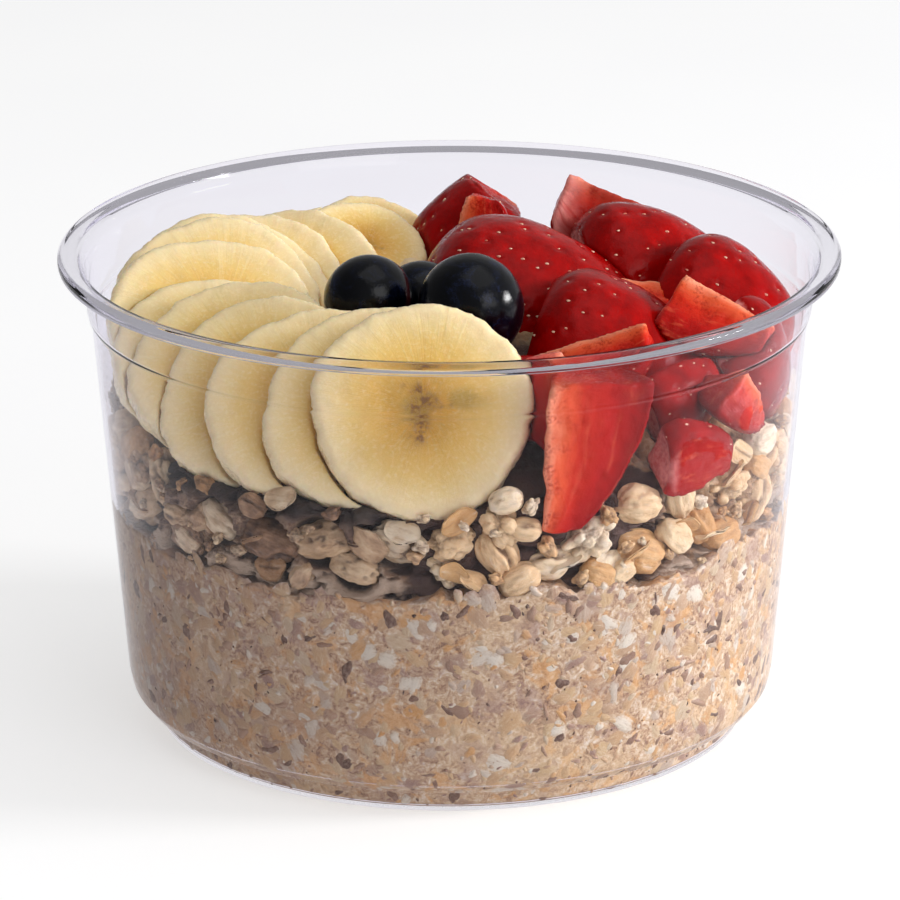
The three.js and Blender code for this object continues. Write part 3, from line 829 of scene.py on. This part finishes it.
def dress_strawberry(index):
    piece_row = STRAWBERRIES[index]
    *_, size = piece_row
    piece = cut_fruit(f"strawberry_cut_{index + 1}", len(FAN) + len(BLUEBERRIES) + index)
    to_bowl = berry_frame(piece_row)
    swell = np.empty(3 * len(piece.data.vertices))
    piece.data.vertex_normals.foreach_get("vector", swell)
    own = moved(to_bowl.inverted(), points_of(piece) + 0.2 * swell.reshape(-1, 3))
    long, wide = BERRY_LENGTH * size, BERRY_RADIUS * size
    share = own[:, 2] / long
    full = np.array([wide * berry_radius(min(max(s, 0.0), 1.0)) for s in share])
    radial, _ = about_axis(own)
    skin = np.clip(1.6 - (full - radial) / 0.45, 0, 1) * ease(share, 1.02, 1)
    skin = np.maximum(skin, (share > 0.9) * np.clip(1.6 - (full - radial) / 0.8, 0, 1))
    lumpy = rough(own, 0.1, index, 2) * 0.35 + rough(own, 0.9, index) * 0.04
    outward = np.zeros_like(own)
    outward[:, :2] = own[:, :2] / np.maximum(radial, 0.1)[:, None]
    outward[:, 2] = np.where(share > 0.6, (share - 0.6) * 1.6, (share - 0.2) * 0.6)
    outward /= np.linalg.norm(outward, axis=1)[:, None]
    own += outward * (lumpy * (0.4 + 0.6 * skin))[:, None]
    bend = np.stack([rough(own, 0.16, index + 31 * axis, 3) for axis in (1, 2, 3)], 1)
    own += bend * (0.5 * (1 - skin))[:, None]

    # Seeds lie in a spiral over the skin, each in a dimple
    tree = KDTree(len(own))
    for k, p in enumerate(own):
        tree.insert(p, k)
    tree.balance()
    count = int(SEEDS_ON_BERRY * size ** 2)
    draw = random.Random(index)
    sunk = np.zeros(len(own))
    for k in range(count):
        s = (0.05 + 0.92 * (k + 0.5) / count) ** 0.92
        a = k * GOLDEN_ANGLE + 0.15 * draw.uniform(-1, 1)
        spot = Vector(at_angle(wide * berry_radius(s), a, s * long))
        near, which, gap = tree.find(spot)
        if gap > 0.75 or skin[which] < 0.95 or draw.random() < 0.32:
            continue
        normal = Vector(outward[which])
        for _, which, gap in tree.find_range(spot, 1.7):
            if skin[which] > 0.3:
                sunk[which] = max(sunk[which], bell(gap, 0.66))
        along = (Vector((0, 0, 1)) - normal * normal.z).normalized()
        form = Matrix((normal.cross(along), 0.7 * normal, along)).transposed()
        form = Matrix.Translation(near - normal * 0.2) @ form.to_4x4()
        form = to_bowl @ form @ Matrix.Scale(draw.uniform(0.26, 0.5), 4)
        seeds.append((moved(form, SEED_POINTS), SEED_FACES))
    own -= outward * (0.27 * sunk)[:, None]
    move_points(piece, moved(to_bowl, own))
    out = radial / np.maximum(full, 0.5)
    store(piece, "berry_place", at_angle(out, about_axis(own)[1], share))
    stalk = ease(share + 0.05 * lumpy, 0.26, 0.1)
    store(piece, "skin", np.maximum(skin, 0.85 * (1 - stalk)) if index == RIPE_THROUGH else skin)
    store(piece, "pale", 0.8 * stalk)
    return finished(piece, "strawberry_flesh", "strawberry", f"strawberry_{index + 1}")


fruit = [dress_slice(k) for k in range(len(FAN))]
fruit += [dress_blueberry(k) for k in range(len(BLUEBERRIES))]
fruit += [dress_strawberry(k) for k in range(len(STRAWBERRIES))]
finished(as_object("strawberry_seeds", *joined(seeds)[:2]), "strawberry_seed", "strawberry")


# ---------------------------------------------------------------- oatmeal
def wall_path(depth):
    """The inside of the wall as points [radius, height] from the floor's middle up to above the
    oats, let out into the plastic by a depth."""
    return np.array(softened(inside_of_wall(-depth), 1.2, 5))


PATH = wall_path(0.0)
PATH_LENGTHS = np.cumsum([0, *np.linalg.norm(np.diff(PATH, axis=0), axis=1)])
WALL_START = float(PATH_LENGTHS[np.argmax(PATH[:, 0] > 43)])     # where the floor ends
WAYS = np.diff(PATH, axis=0) / np.maximum(np.diff(PATH_LENGTHS), 1e-6)[:, None]


def on_wall(around, along, depth):
    """Points on the inside of the wall: an angle, a length along it, a depth into it."""
    along = np.clip(along, 0, PATH_LENGTHS[-1] - 0.01)
    r = np.interp(along, PATH_LENGTHS, PATH[:, 0])
    z = np.interp(along, PATH_LENGTHS, PATH[:, 1])
    way = WAYS[np.clip(np.searchsorted(PATH_LENGTHS, along) - 1, 0, len(WAYS) - 1)]
    return at_angle(r + depth * way[:, 1], around, z - depth * way[:, 0])


def along_wall(z):
    """The length along the wall at a height."""
    return float(np.interp(z, PATH[:, 1], PATH_LENGTHS))


def shade_at(points):
    """Painted shade: the oats are darker on the left."""
    return np.clip(0.5 - 0.6 * np.cos(about_axis(points)[1] + 0.2), 0, 1)


def oat_top(x, y):
    return OAT_LEVEL + OAT_SWELL * waves(x, y, OAT_WAVE)


def make_paste():
    """The oats' own body. It reaches just into the wall, so that no air shows between them."""
    heights = [*np.linspace(12, OAT_LEVEL - 6, 8), *np.linspace(OAT_LEVEL - 4, OAT_LEVEL, 6)]
    wall = [tuple(p) for p in wall_path(PASTE_IN_WALL) if p[1] < OAT_LEVEL - 4]
    wall += [(inner_radius(z) + PASTE_IN_WALL, z) for z in heights]
    top = [(wall[-1][0] * s, OAT_LEVEL) for s in np.linspace(0.98, 0, 30)]
    points, faces = turned(wall + top, 240)
    x, y, z = points.T
    flat = points * (1, 1, 0)
    lumps = rough(flat, 0.2, 3) * 1.3 + rough(flat, 0.6, 4) * 0.6
    lift = ease(z, OAT_LEVEL - 4, OAT_LEVEL)
    points[:, 2] += lift * (OAT_SWELL * waves(x, y, OAT_WAVE) + lumps)
    paste = as_object("oat_paste", points, faces)
    store(paste, "shade", shade_at(points))
    return finished(paste, "oat_paste", "oats", "oatmeal")


def ring_faces(rings, sides):
    """Faces of a disc: a middle point, and rings of points round it."""
    faces = [[0, 1 + k, 1 + (k + 1) % sides] for k in range(sides)]
    for low in range(1, 1 + (rings - 1) * sides, sides):
        faces += [[low + k, low + k + sides, low + (k + 1) % sides + sides, low + (k + 1) % sides]
                  for k in range(sides)]
    return faces


def patch(around, along, long, wide, turn, depth, draw, jag):
    """A flat flake that is pressed against the wall, with its edge dipped into the paste: its
    points, its faces, where the points are across the flake, and how near its core they are."""
    sides, rings = 14, (0.45, 0.8, 1)
    phases = [draw.uniform(0, 6.28) for _ in range(3)]
    a = np.linspace(0, 2 * math.pi, sides, endpoint=False)
    shape = (1 + jag * np.sin(2 * a + phases[0]) + jag * np.sin(3 * a + phases[1]) +
             0.6 * jag * np.sin(5 * a + phases[2]))
    r0 = max(20.0, float(np.interp(along, PATH_LENGTHS, PATH[:, 0])))
    points = [on_wall(around, [along], depth)]
    grain, core = [np.zeros((1, 2))], [[1.0]]
    for share in rings:
        g = np.stack([share * shape * long * np.cos(a), share * shape * wide * np.sin(a)], 1)
        u = g[:, 0] * math.cos(turn) - g[:, 1] * math.sin(turn)
        v = g[:, 0] * math.sin(turn) + g[:, 1] * math.cos(turn)
        points.append(on_wall(around + u / r0, along + v, depth * (1 - share ** 2) - 0.06 * share))
        grain.append(g)
        core.append([1 - share] * sides)
    faces = ring_faces(len(rings), sides)
    return np.concatenate(points), faces, np.concatenate(grain), np.concatenate(core)


def pressed(name, finish, count, sizes, aspects, depths, tones, seed, jag=0.09, above=0.0):
    """Flakes or skins of one kind, all round the wall. Some may stand above the oats."""
    draw = random.Random(seed)
    parts, grains, cores, tone = [], [], [], []
    while len(parts) < count:
        around = draw.uniform(0, 2 * math.pi)
        along = draw.uniform(WALL_START, along_wall(OAT_LEVEL + 1.5 + above))
        long = draw.uniform(*sizes) * draw.uniform(0.7, 1.15)
        wide = long * draw.uniform(*aspects)
        x, y, z = on_wall(around, [along], 0)[0]
        if z + 0.6 * wide > oat_top(x, y) + above:
            continue
        points, faces, grain, core = patch(around, along, long, wide, draw.uniform(0, math.pi),
                                           draw.uniform(*depths), draw, jag)
        parts.append((points, faces))
        grains.append(np.column_stack([grain, np.full(len(grain), len(parts))]))
        cores.append(core)
        tone.append(draw.uniform(*tones))
    points, faces, which = joined(parts)
    piece = as_object(name, points, faces)
    store(piece, "grain_place", np.concatenate(grains))
    store(piece, "core", np.concatenate(cores))
    store(piece, "tone", np.array(tone)[which])
    store(piece, "shade", shade_at(points))
    return finished(piece, finish, "oats", "oatmeal")


make_paste()
pressed("oat_flakes", "oat_flake", 1500, (1.2, 3.1), (0.4, 0.9), (0.18, 0.34), (0, 1), 5, 0.12, 0.8)
pressed("oat_crumbs", "oat_flake", 1300, (0.5, 1.3), (0.4, 0.9), (0.22, 0.36), (0, 1), 6, 0.12, 1)
pressed("bran_skins", "bran", 400, (0.9, 2.2), (0.3, 0.7), (0.32, 0.42), (0.2, 1), 7, 0.16)
pressed("bran_bits", "bran", 520, (0.16, 0.5), (0.3, 0.9), (0.3, 0.42), (0.0, 0.8), 8, 0.12)


# ---------------------------------------------------------------- granola
def mulberry(seed):
    """The same seeded draw from 0 to 1 that places the kernels of the solid."""
    state = seed

    def product(a, b):
        return (a * b) & 0xFFFFFFFF

    def draw():
        nonlocal state
        state = (state + 0x6D2B79F5) & 0xFFFFFFFF
        t = product(state ^ (state >> 15), 1 | state)
        t = ((t + product(t ^ (t >> 7), 61 | t)) & 0xFFFFFFFF) ^ t
        return (t ^ (t >> 14)) / 4294967296
    return draw


def tree_of(pieces):
    points, faces, start = [], [], 0
    for piece in pieces:
        mesh = piece.data
        points += [tuple(v.co / MM) for v in mesh.vertices]
        faces += [[start + k for k in face.vertices] for face in mesh.polygons]
        start = len(points)
    return BVHTree.FromPolygons(points, faces)


def is_inside(tree, point):
    """Whether a point is inside a closed surface, by the crossings of a ray upwards."""
    crossings, start = 0, Vector(point)
    while True:
        hit = tree.ray_cast(start, Vector((0.013, 0.017, 1)))
        if hit[0] is None:
            return crossings % 2 == 1
        crossings += 1
        start = hit[0] + Vector((0, 0, 0.001))


solid_tree = tree_of([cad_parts["granola"]])
fruit_tree = tree_of(fruit)


def mound_spot(around, share):
    for (s1, z1), (s0, z0) in zip(MOUND[1:], MOUND):
        if s1 <= share:
            break
    z = z0 + (z1 - z0) * (share - s0) / (s1 - s0) + 0.15 * KERNEL_WIDE
    return Vector(at_angle(share * MOUND_EDGE, around, z))


def by_wall(around, z):
    return Vector(at_angle(inner_radius(z) - GAP - 0.95 * KERNEL_WIDE, around, z))


def kernel_places():
    """Where the solid has its kernels: middle, angle round the bowl, turn, size, kind."""
    draw, kept = mulberry(KERNEL_SEED), []

    def attempt(middle, around, turn=None, size=None, kind="kernel"):
        turn = 1.6 * (draw() - 0.5) if turn is None else turn
        size = 0.85 + 0.25 * draw() if size is None else size
        if all((middle - other[0]).length >= KERNEL_SPACING * size for other in kept):
            if is_inside(solid_tree, middle):
                kept.append((middle, around, turn, size, kind))

    for degrees, z, turn, size, kind in FRONT_GRANOLA:
        around = math.radians(degrees)
        attempt(by_wall(around, z), around, math.radians(turn), size, kind)
    for _ in range(6000):
        around = 2 * math.pi * draw()
        low, high = OAT_LEVEL + KERNEL_WIDE, MOUND[0][1] + KERNEL_WIDE
        attempt(by_wall(around, low + (high - low) * draw()), around)
    for _ in range(400):
        around = 2 * math.pi * draw()
        share = math.sqrt(draw())
        attempt(mound_spot(around, share), around)
    return kept


def ball(detail):
    shape = bmesh.new()
    bmesh.ops.create_icosphere(shape, subdivisions=detail, radius=1)
    points = np.array([tuple(v.co) for v in shape.verts])
    faces = [[v.index for v in face.verts] for face in shape.faces]
    shape.free()
    return points, faces


def kernel_form(number, detail=4):
    """A puffed kernel: wrinkled lengthways, with a crease, and pinched at its ends. Returned
    with how much painted shade each point gets in the folds and the crease."""
    points, faces = ball(detail)
    x, around = points[:, 0], np.arctan2(points[:, 2], points[:, 1])
    waver = rough(points, 1.1, number, 2)
    folds = np.sin(9 * around + 2.2 * waver + number) * np.sqrt(np.clip(1 - x ** 2, 0, 1))
    crease = bell(np.abs(around - 1.2) + 0.15 * waver, 0.22) * (1 - x ** 2)
    lumps = rough(points, 1.7, number + 50, 4)
    height = 1 + 0.045 * folds - 0.22 * crease + 0.08 * lumps + 0.08 * waver
    hollow = np.clip(-0.3 * folds - lumps * 0.5 + crease * 1.2 - 0.15, 0, 1)
    height *= 1 - 0.12 * np.abs(x) ** 6
    return points * height[:, None] * (KERNEL_LONG, KERNEL_WIDE, KERNEL_WIDE), faces, hollow


def cluster_form(number, detail=5, bits=60):
    """Crumbs and small kernels baked into one lump, of about unit radius, with painted shade in the
    dips between them.
    """
    points, faces = ball(detail)
    draw = random.Random(number)
    height = np.full(len(points), 0.62)
    for _ in range(bits):
        middle = Vector((draw.gauss(0, 1), draw.gauss(0, 0.8), draw.gauss(0, 0.8))).normalized()
        r = draw.uniform(0.13, 0.36)
        middle *= draw.uniform(0.62, 0.98) - r
        along = points @ np.array(middle)
        inside = r * r - (middle.length_squared - along ** 2)
        reach = np.where(inside > 0, along + np.sqrt(np.maximum(inside, 0)), 0)
        height = np.maximum(height, np.where(along > 0, reach, 0))
    lumps, fine = rough(points, 2.2, number, 4), rough(points, 6.5, number, 3)
    # painted shade where the surface lies low between the bits
    hollow = np.clip((0.8 - height) * 3 - lumps * 0.5 - fine * 0.4, 0, 1)
    height = height + 0.08 * lumps + 0.05 * fine
    return points * height[:, None] * (1.1, 0.85, 0.85), faces, hollow


def soaked_form(number):
    """A flake or kernel that juice has made soft, folded and dark, with painted shade in its creases.
    """
    points, faces = ball(4)
    folds = rough(points * (1, 1.8, 1.8), 0.8, number, 3)
    creases = np.abs(rough(points, 1.1, number + 30, 2))
    height = 1 + 0.22 * folds - 0.16 * bell(creases, 0.06)
    hollow = np.clip(bell(creases, 0.1) - 0.6 * folds, 0, 1)
    return points * height[:, None] * (KERNEL_LONG, KERNEL_WIDE, 0.85 * KERNEL_WIDE), faces, hollow


def flake_form(number):
    """A rolled oat: a thin wavy oval with a split along it, with painted shade in the split."""
    rings, sides, oval = 6, 22, 0.74
    phase = number * 1.7
    a = np.linspace(0, 2 * math.pi, sides, endpoint=False)
    edge = 1 + 0.06 * np.sin(3 * a + phase) + 0.05 * np.sin(5 * a + 2 * phase)
    sheet = [np.zeros((1, 3))]
    for s in np.arange(1, rings + 1) / rings:
        sheet.append(at_angle(s * edge, a, 0 * a) * (1, oval, 1))
    sheet = np.concatenate(sheet)
    x, y, _ = sheet.T
    bend = 0.16 * np.sin(2.1 * x + phase) + 0.12 * np.cos(2.7 * y + phase)
    bend += 0.05 * rough(sheet, 1.6, number)
    split = bell(y, 0.07) * (np.abs(x) < 0.8)
    r = np.hypot(x, y / oval)
    thick = 0.085 * np.sqrt(np.clip(1 - (r * 0.93) ** 4, 0.02, 1))
    top = np.stack([x, y, bend + thick - 0.05 * split], 1)
    bottom = np.stack([x, y, bend - thick], 1)
    fan = ring_faces(rings, sides)
    count, last = len(sheet), 1 + (rings - 1) * sides
    rim = [[last + (k + 1) % sides + count, last + k + count, last + k, last + (k + 1) % sides]
           for k in range(sides)]
    faces = rim + fan + [[k + count for k in face][::-1] for face in fan]
    # painted shade in the split
    hollow = np.concatenate([0.8 * split, np.zeros(count)])
    return np.concatenate([top, bottom]), faces, hollow


def behind_wall(points):
    """Points kept inside the wall, where soft food is pressed flat against it."""
    r, around = about_axis(points)
    z = points[:, 2]
    return at_angle(np.minimum(r, inner_radius(z) - 0.08), around, z)


def wetness(around):
    """Juice has soaked the granola from the front round to the left and the back."""
    turn = np.degrees(around + math.pi) % 360            # 0 on the left, 90 at the front
    return np.where(turn < 180, ease(turn, 88, 78), ease(turn, 230, 290))


def juice_and_shade(x, y):
    """How near a place is to where the strawberries' juice gathers, behind the first slice. The bed
    there gets painted shade too.
    """
    return bell(np.hypot(x - 9, y + 19), 13)


def turned_about(points, around, lean, spin):
    """A form turned to lie along the wall at an angle round the bowl."""
    m = (Matrix.Rotation(around + math.pi / 2, 3, "Z") @ Matrix.Rotation(lean, 3, "Y") @
         Matrix.Rotation(spin, 3, "X"))
    return points @ np.array(m).T


def scatter(name, forms, places, seed):
    """Joins many copies of a few forms. A place is middle, angle, lean, size."""
    draw = random.Random(seed)
    parts, tone, hollow_shades, wets, grain = [], [], [], [], []
    for number, (middle, around, lean, size) in enumerate(places):
        points, faces, hollow = draw.choice(forms)
        grain.append(points * size + (0, 0, 9.0 * number))
        points = turned_about(points * size, around, lean, draw.uniform(0, 2 * math.pi))
        points = behind_wall(points + np.array(middle))
        parts.append((points, faces))
        tone.append(draw.uniform(0.15, 0.95))
        hollow_shades.append(hollow)
        wet = wetness(around) * draw.uniform(0.5, 1) * (middle.xy.length > 38)
        wets.append(max(wet, juice_and_shade(*middle.xy)))
    points, faces, which = joined(parts)
    piece = as_object(name, points, faces)
    store(piece, "tone", np.array(tone)[which])
    store(piece, "wet", np.array(wets)[which])
    # each form's painted shade in its dips and creases
    store(piece, "hollow", np.concatenate(hollow_shades))
    store(piece, "grain_place", np.concatenate(grain))
    return finished(piece, "dry_grain", "granola", "granola")


def clear_places(count, reach, sizes, seed, low, high, keep=0.75):
    """Random places along the wall and on the bed that are clear of fruit and of each other."""
    draw, kept = random.Random(seed), []
    for _ in range(count):
        around = draw.uniform(0, 2 * math.pi)
        size = draw.uniform(*sizes)
        r = size * reach
        if draw.random() < 0.8:
            z = draw.uniform(low, high)
            middle = Vector(at_angle(inner_radius(z) - draw.uniform(0.75, 1.0) * r, around, z))
        else:
            middle = mound_spot(around, math.sqrt(draw.uniform(0, 0.9)))
        if fruit_tree.find_nearest(middle)[3] < r * 0.85 or is_inside(fruit_tree, middle):
            continue
        if juice_and_shade(*middle.xy) > 0.3 and middle.xy.length < 42:
            continue
        if any((middle - other[0]).length < keep * (r + other[3] * reach) for other in kept):
            continue
        kept.append((middle, around, draw.uniform(-1, 1), size))
    return kept


def make_bed():
    """The core of the granola: a crust pressed against the wall where juice has soaked it, with
    gaps in it that get painted shade, and further in where it is dry. Each large kernel has
    a socket in it."""
    low = OAT_LEVEL - 1.5
    wall = [(inner_radius(z) - 0.25, z) for z in np.linspace(low, BED_TOP, 26)]
    top = [(s * MOUND_EDGE + 1.2 * s, z) for s, z in MOUND[1:]]
    profile = softened([(0, low)] + wall + [(inner_radius(48) - 1.2, 48)] + top, 1.5, 4)
    fine = []
    for (r0, z0), (r1, z1) in zip(profile, profile[1:]):
        steps = max(1, int(math.hypot(r1 - r0, z1 - z0) / 0.9))
        fine += [(r0 + (r1 - r0) * k / steps, z0 + (z1 - z0) * k / steps) for k in range(steps)]
    points, faces = turned(fine + [profile[-1]], 400)
    r, around = about_axis(points)
    wet = wetness(around)
    crust = rough(points, 0.2, 2, 4)
    gaps = bell(rough(points, 0.13, 8, 4), 0.09)
    pits = ease(rough(points, 0.24, 5, 3), 0.22, 0.47)
    turn = np.degrees(around)
    full = ease(turn, -58, -46) * ease(turn, 60, 48)         # on the right
    deep = 0.8 * np.clip(0.4 - crust, 0, 1) + 1.5 * gaps + 2.6 * pits
    deep += (2.4 - 1.9 * full) * (1 - wet)
    for middle, _, _, size, _ in kernels:
        if middle.xy.length > 40:
            off = np.linalg.norm(points - np.array(middle), axis=1)
            beside = np.sqrt(np.maximum(off ** 2 - 9, 0)) / (KERNEL_LONG * size)
            deep = np.maximum(deep, 5.5 * np.sqrt(np.clip(1.1 - beside, 0, 1)))
    deep += 0.3 * rough(points, 0.8, 3)
    points[:, :2] *= (1 - np.where(r > 38, deep, 0) / np.maximum(r, 1))[:, None]
    above = (points[:, 2] > low + 1) * (r < 46)
    points[:, 2] += above * (0.8 * crust - 0.8 * gaps + 0.3 * rough(points, 0.8, 4))
    points = behind_wall(points)
    for k, p in enumerate(points):                 # the bed gives way under the fruit
        if p[2] > 44 and is_inside(fruit_tree, p):
            points[k] = np.array(fruit_tree.find_nearest(Vector(p))[0]) - (0, 0, 0.5)
    bed = as_object("granola_bed", points, faces)
    x, y, z = points.T
    # painted shade in the gaps, pits and sockets, half as strong on the right, together with the
    # slices' shade and the corner behind the first slice
    dark = ease(deep, 0.5, 2.8) * (1 - 0.5 * full)
    under = ease(z, 43, 47) * wet * 0.7            # in the slices' shade
    store(bed, "hollow", np.maximum(dark, np.maximum(under, juice_and_shade(x, y))))
    store(bed, "wet", wet)
    store(bed, "milky", ease(z, 40, 36) * ease(deep, 3, 1))
    return finished(bed, "wet_bed", "granola", "granola")


kernels = kernel_places()
make_bed()


def of_kind(kind, scale=1.0):
    return [(middle, around, turn, size * scale)
            for middle, around, turn, size, own in kernels if own == kind]


def apart(place, others, share):
    return all((place[0] - other[0]).length > share * other[3] * KERNEL_LONG for other in others)


in_front = sum(row[-1] == "kernel" for row in FRONT_GRANOLA)
scatter("front_kernels", [kernel_form(k, 5) for k in range(10)], of_kind("kernel")[:in_front], 27)
scatter("puffed_kernels", [kernel_form(k) for k in range(10)], of_kind("kernel")[in_front:], 21)
scatter("soaked_grains", [soaked_form(k) for k in range(6)], of_kind("soaked", 1.15), 25)
lumps = of_kind("lump", KERNEL_LONG)
front = [place[:4] for place in kernels[:len(FRONT_GRANOLA)]]
loose = [p for p in clear_places(700, 0.8, (3.4, 5.4), 31, 38.5, 50, 0.7) if apart(p, front, 1)]
scatter("baked_clusters", [cluster_form(k) for k in range(5)], lumps + loose[:30], 22)
small = [p for p in clear_places(900, 3.2, (0.5, 0.8), 51, 36.5, 50, 0.7) if apart(p, front, 1.25)]
scatter("small_kernels", [kernel_form(k + 20) for k in range(6)], small[:80], 24)
crumbs = [p for p in clear_places(3000, 0.8, (0.9, 2.3), 61, 34.5, 50, 0.7) if apart(p, front, 0.85)]
scatter("granola_crumbs", [cluster_form(k + 10, 4, 14) for k in range(8)], crumbs[:150], 26)
scatter("rolled_flakes", [flake_form(k) for k in range(8)],
        clear_places(500, 0.5, (2.0, 3.6), 41, 37, 52, 0.9)[:50], 23)
discard(room)


# ---------------------------------------------------------------- floor, light and camera
LAMPS_AIM_Z = 0.05


def placed(name, what, at):
    """An object that holds a lamp or a camera at a place, in metres."""
    holder = bpy.data.objects.new(name, what)
    bpy.context.scene.collection.objects.link(holder)
    holder.location = at
    return holder


def lamp(name, at, strength, wide, high):
    """A soft box, in metres, that looks at the middle of the bowl."""
    light = bpy.data.lights.new(name, "AREA")
    light.energy, light.shape, light.size, light.size_y = strength, "RECTANGLE", wide, high
    way = Vector((0, 0, LAMPS_AIM_Z)) - Vector(at)
    placed(name, light, at).rotation_euler = way.to_track_quat("-Z", "Y").to_euler()


FLOOR_HALF = 3000
floor = as_object("floor", [(x * FLOOR_HALF, y * FLOOR_HALF, 0)
                            for x, y in ((-1, -1), (1, -1), (1, 1), (-1, 1))], [[0, 1, 2, 3]])
floor.data.materials.append(FINISH["studio_floor"])

world = bpy.data.worlds.new("studio")
bpy.context.scene.world = world
world.use_nodes = True
shade = world.node_tree.nodes
sky = shade["Background"]
sky.inputs["Color"].default_value = (1, 1, 1, 1)
way = shade.new("ShaderNodeTexCoord")
across = shade.new("ShaderNodeSeparateXYZ")
side = shade.new("ShaderNodeMapRange")                   # a darker studio on the left
for key, value in {"From Min": -0.8, "From Max": 0.8, "To Min": 0.2, "To Max": 0.66}.items():
    side.inputs[key].default_value = value
links = world.node_tree.links
links.new(way.outputs["Generated"], across.inputs[0])
links.new(across.outputs["X"], side.inputs["Value"])
links.new(side.outputs[0], sky.inputs["Strength"])
lamp("key", (0.7, -0.06, 0.27), 4.4, 0.2, 0.14)
lamp("top", (0.15, -0.15, 0.9), 1.6, 0.8, 0.8)
lamp("side_card", (0.42, -0.62, 0.42), 1.5, 0.5, 0.4)

# The camera swings about a point over the foot, and looks at one just above it
CAMERA_ABOVE, CAMERA_TILT = math.radians(19.22), math.radians(-0.21)
CAMERA_REACH, SWING_Z, LOOK_AT_Z = 0.845, 0.035, 0.0405
lens = bpy.data.cameras.new("camera")
lens.sensor_width, lens.lens = 36, 222.9
lens.clip_start, lens.clip_end = 0.05, 20
camera = placed("camera", lens, (0, -CAMERA_REACH * math.cos(CAMERA_ABOVE),
                                 SWING_Z + CAMERA_REACH * math.sin(CAMERA_ABOVE)))
aim = Vector((0, 0, LOOK_AT_Z)) - camera.location
turn = aim.to_track_quat("-Z", "Y").to_matrix() @ Matrix.Rotation(CAMERA_TILT, 3, "Z")
camera.rotation_euler = turn.to_euler()
bpy.context.scene.camera = camera
bpy.context.scene.view_settings.view_transform = "Standard"
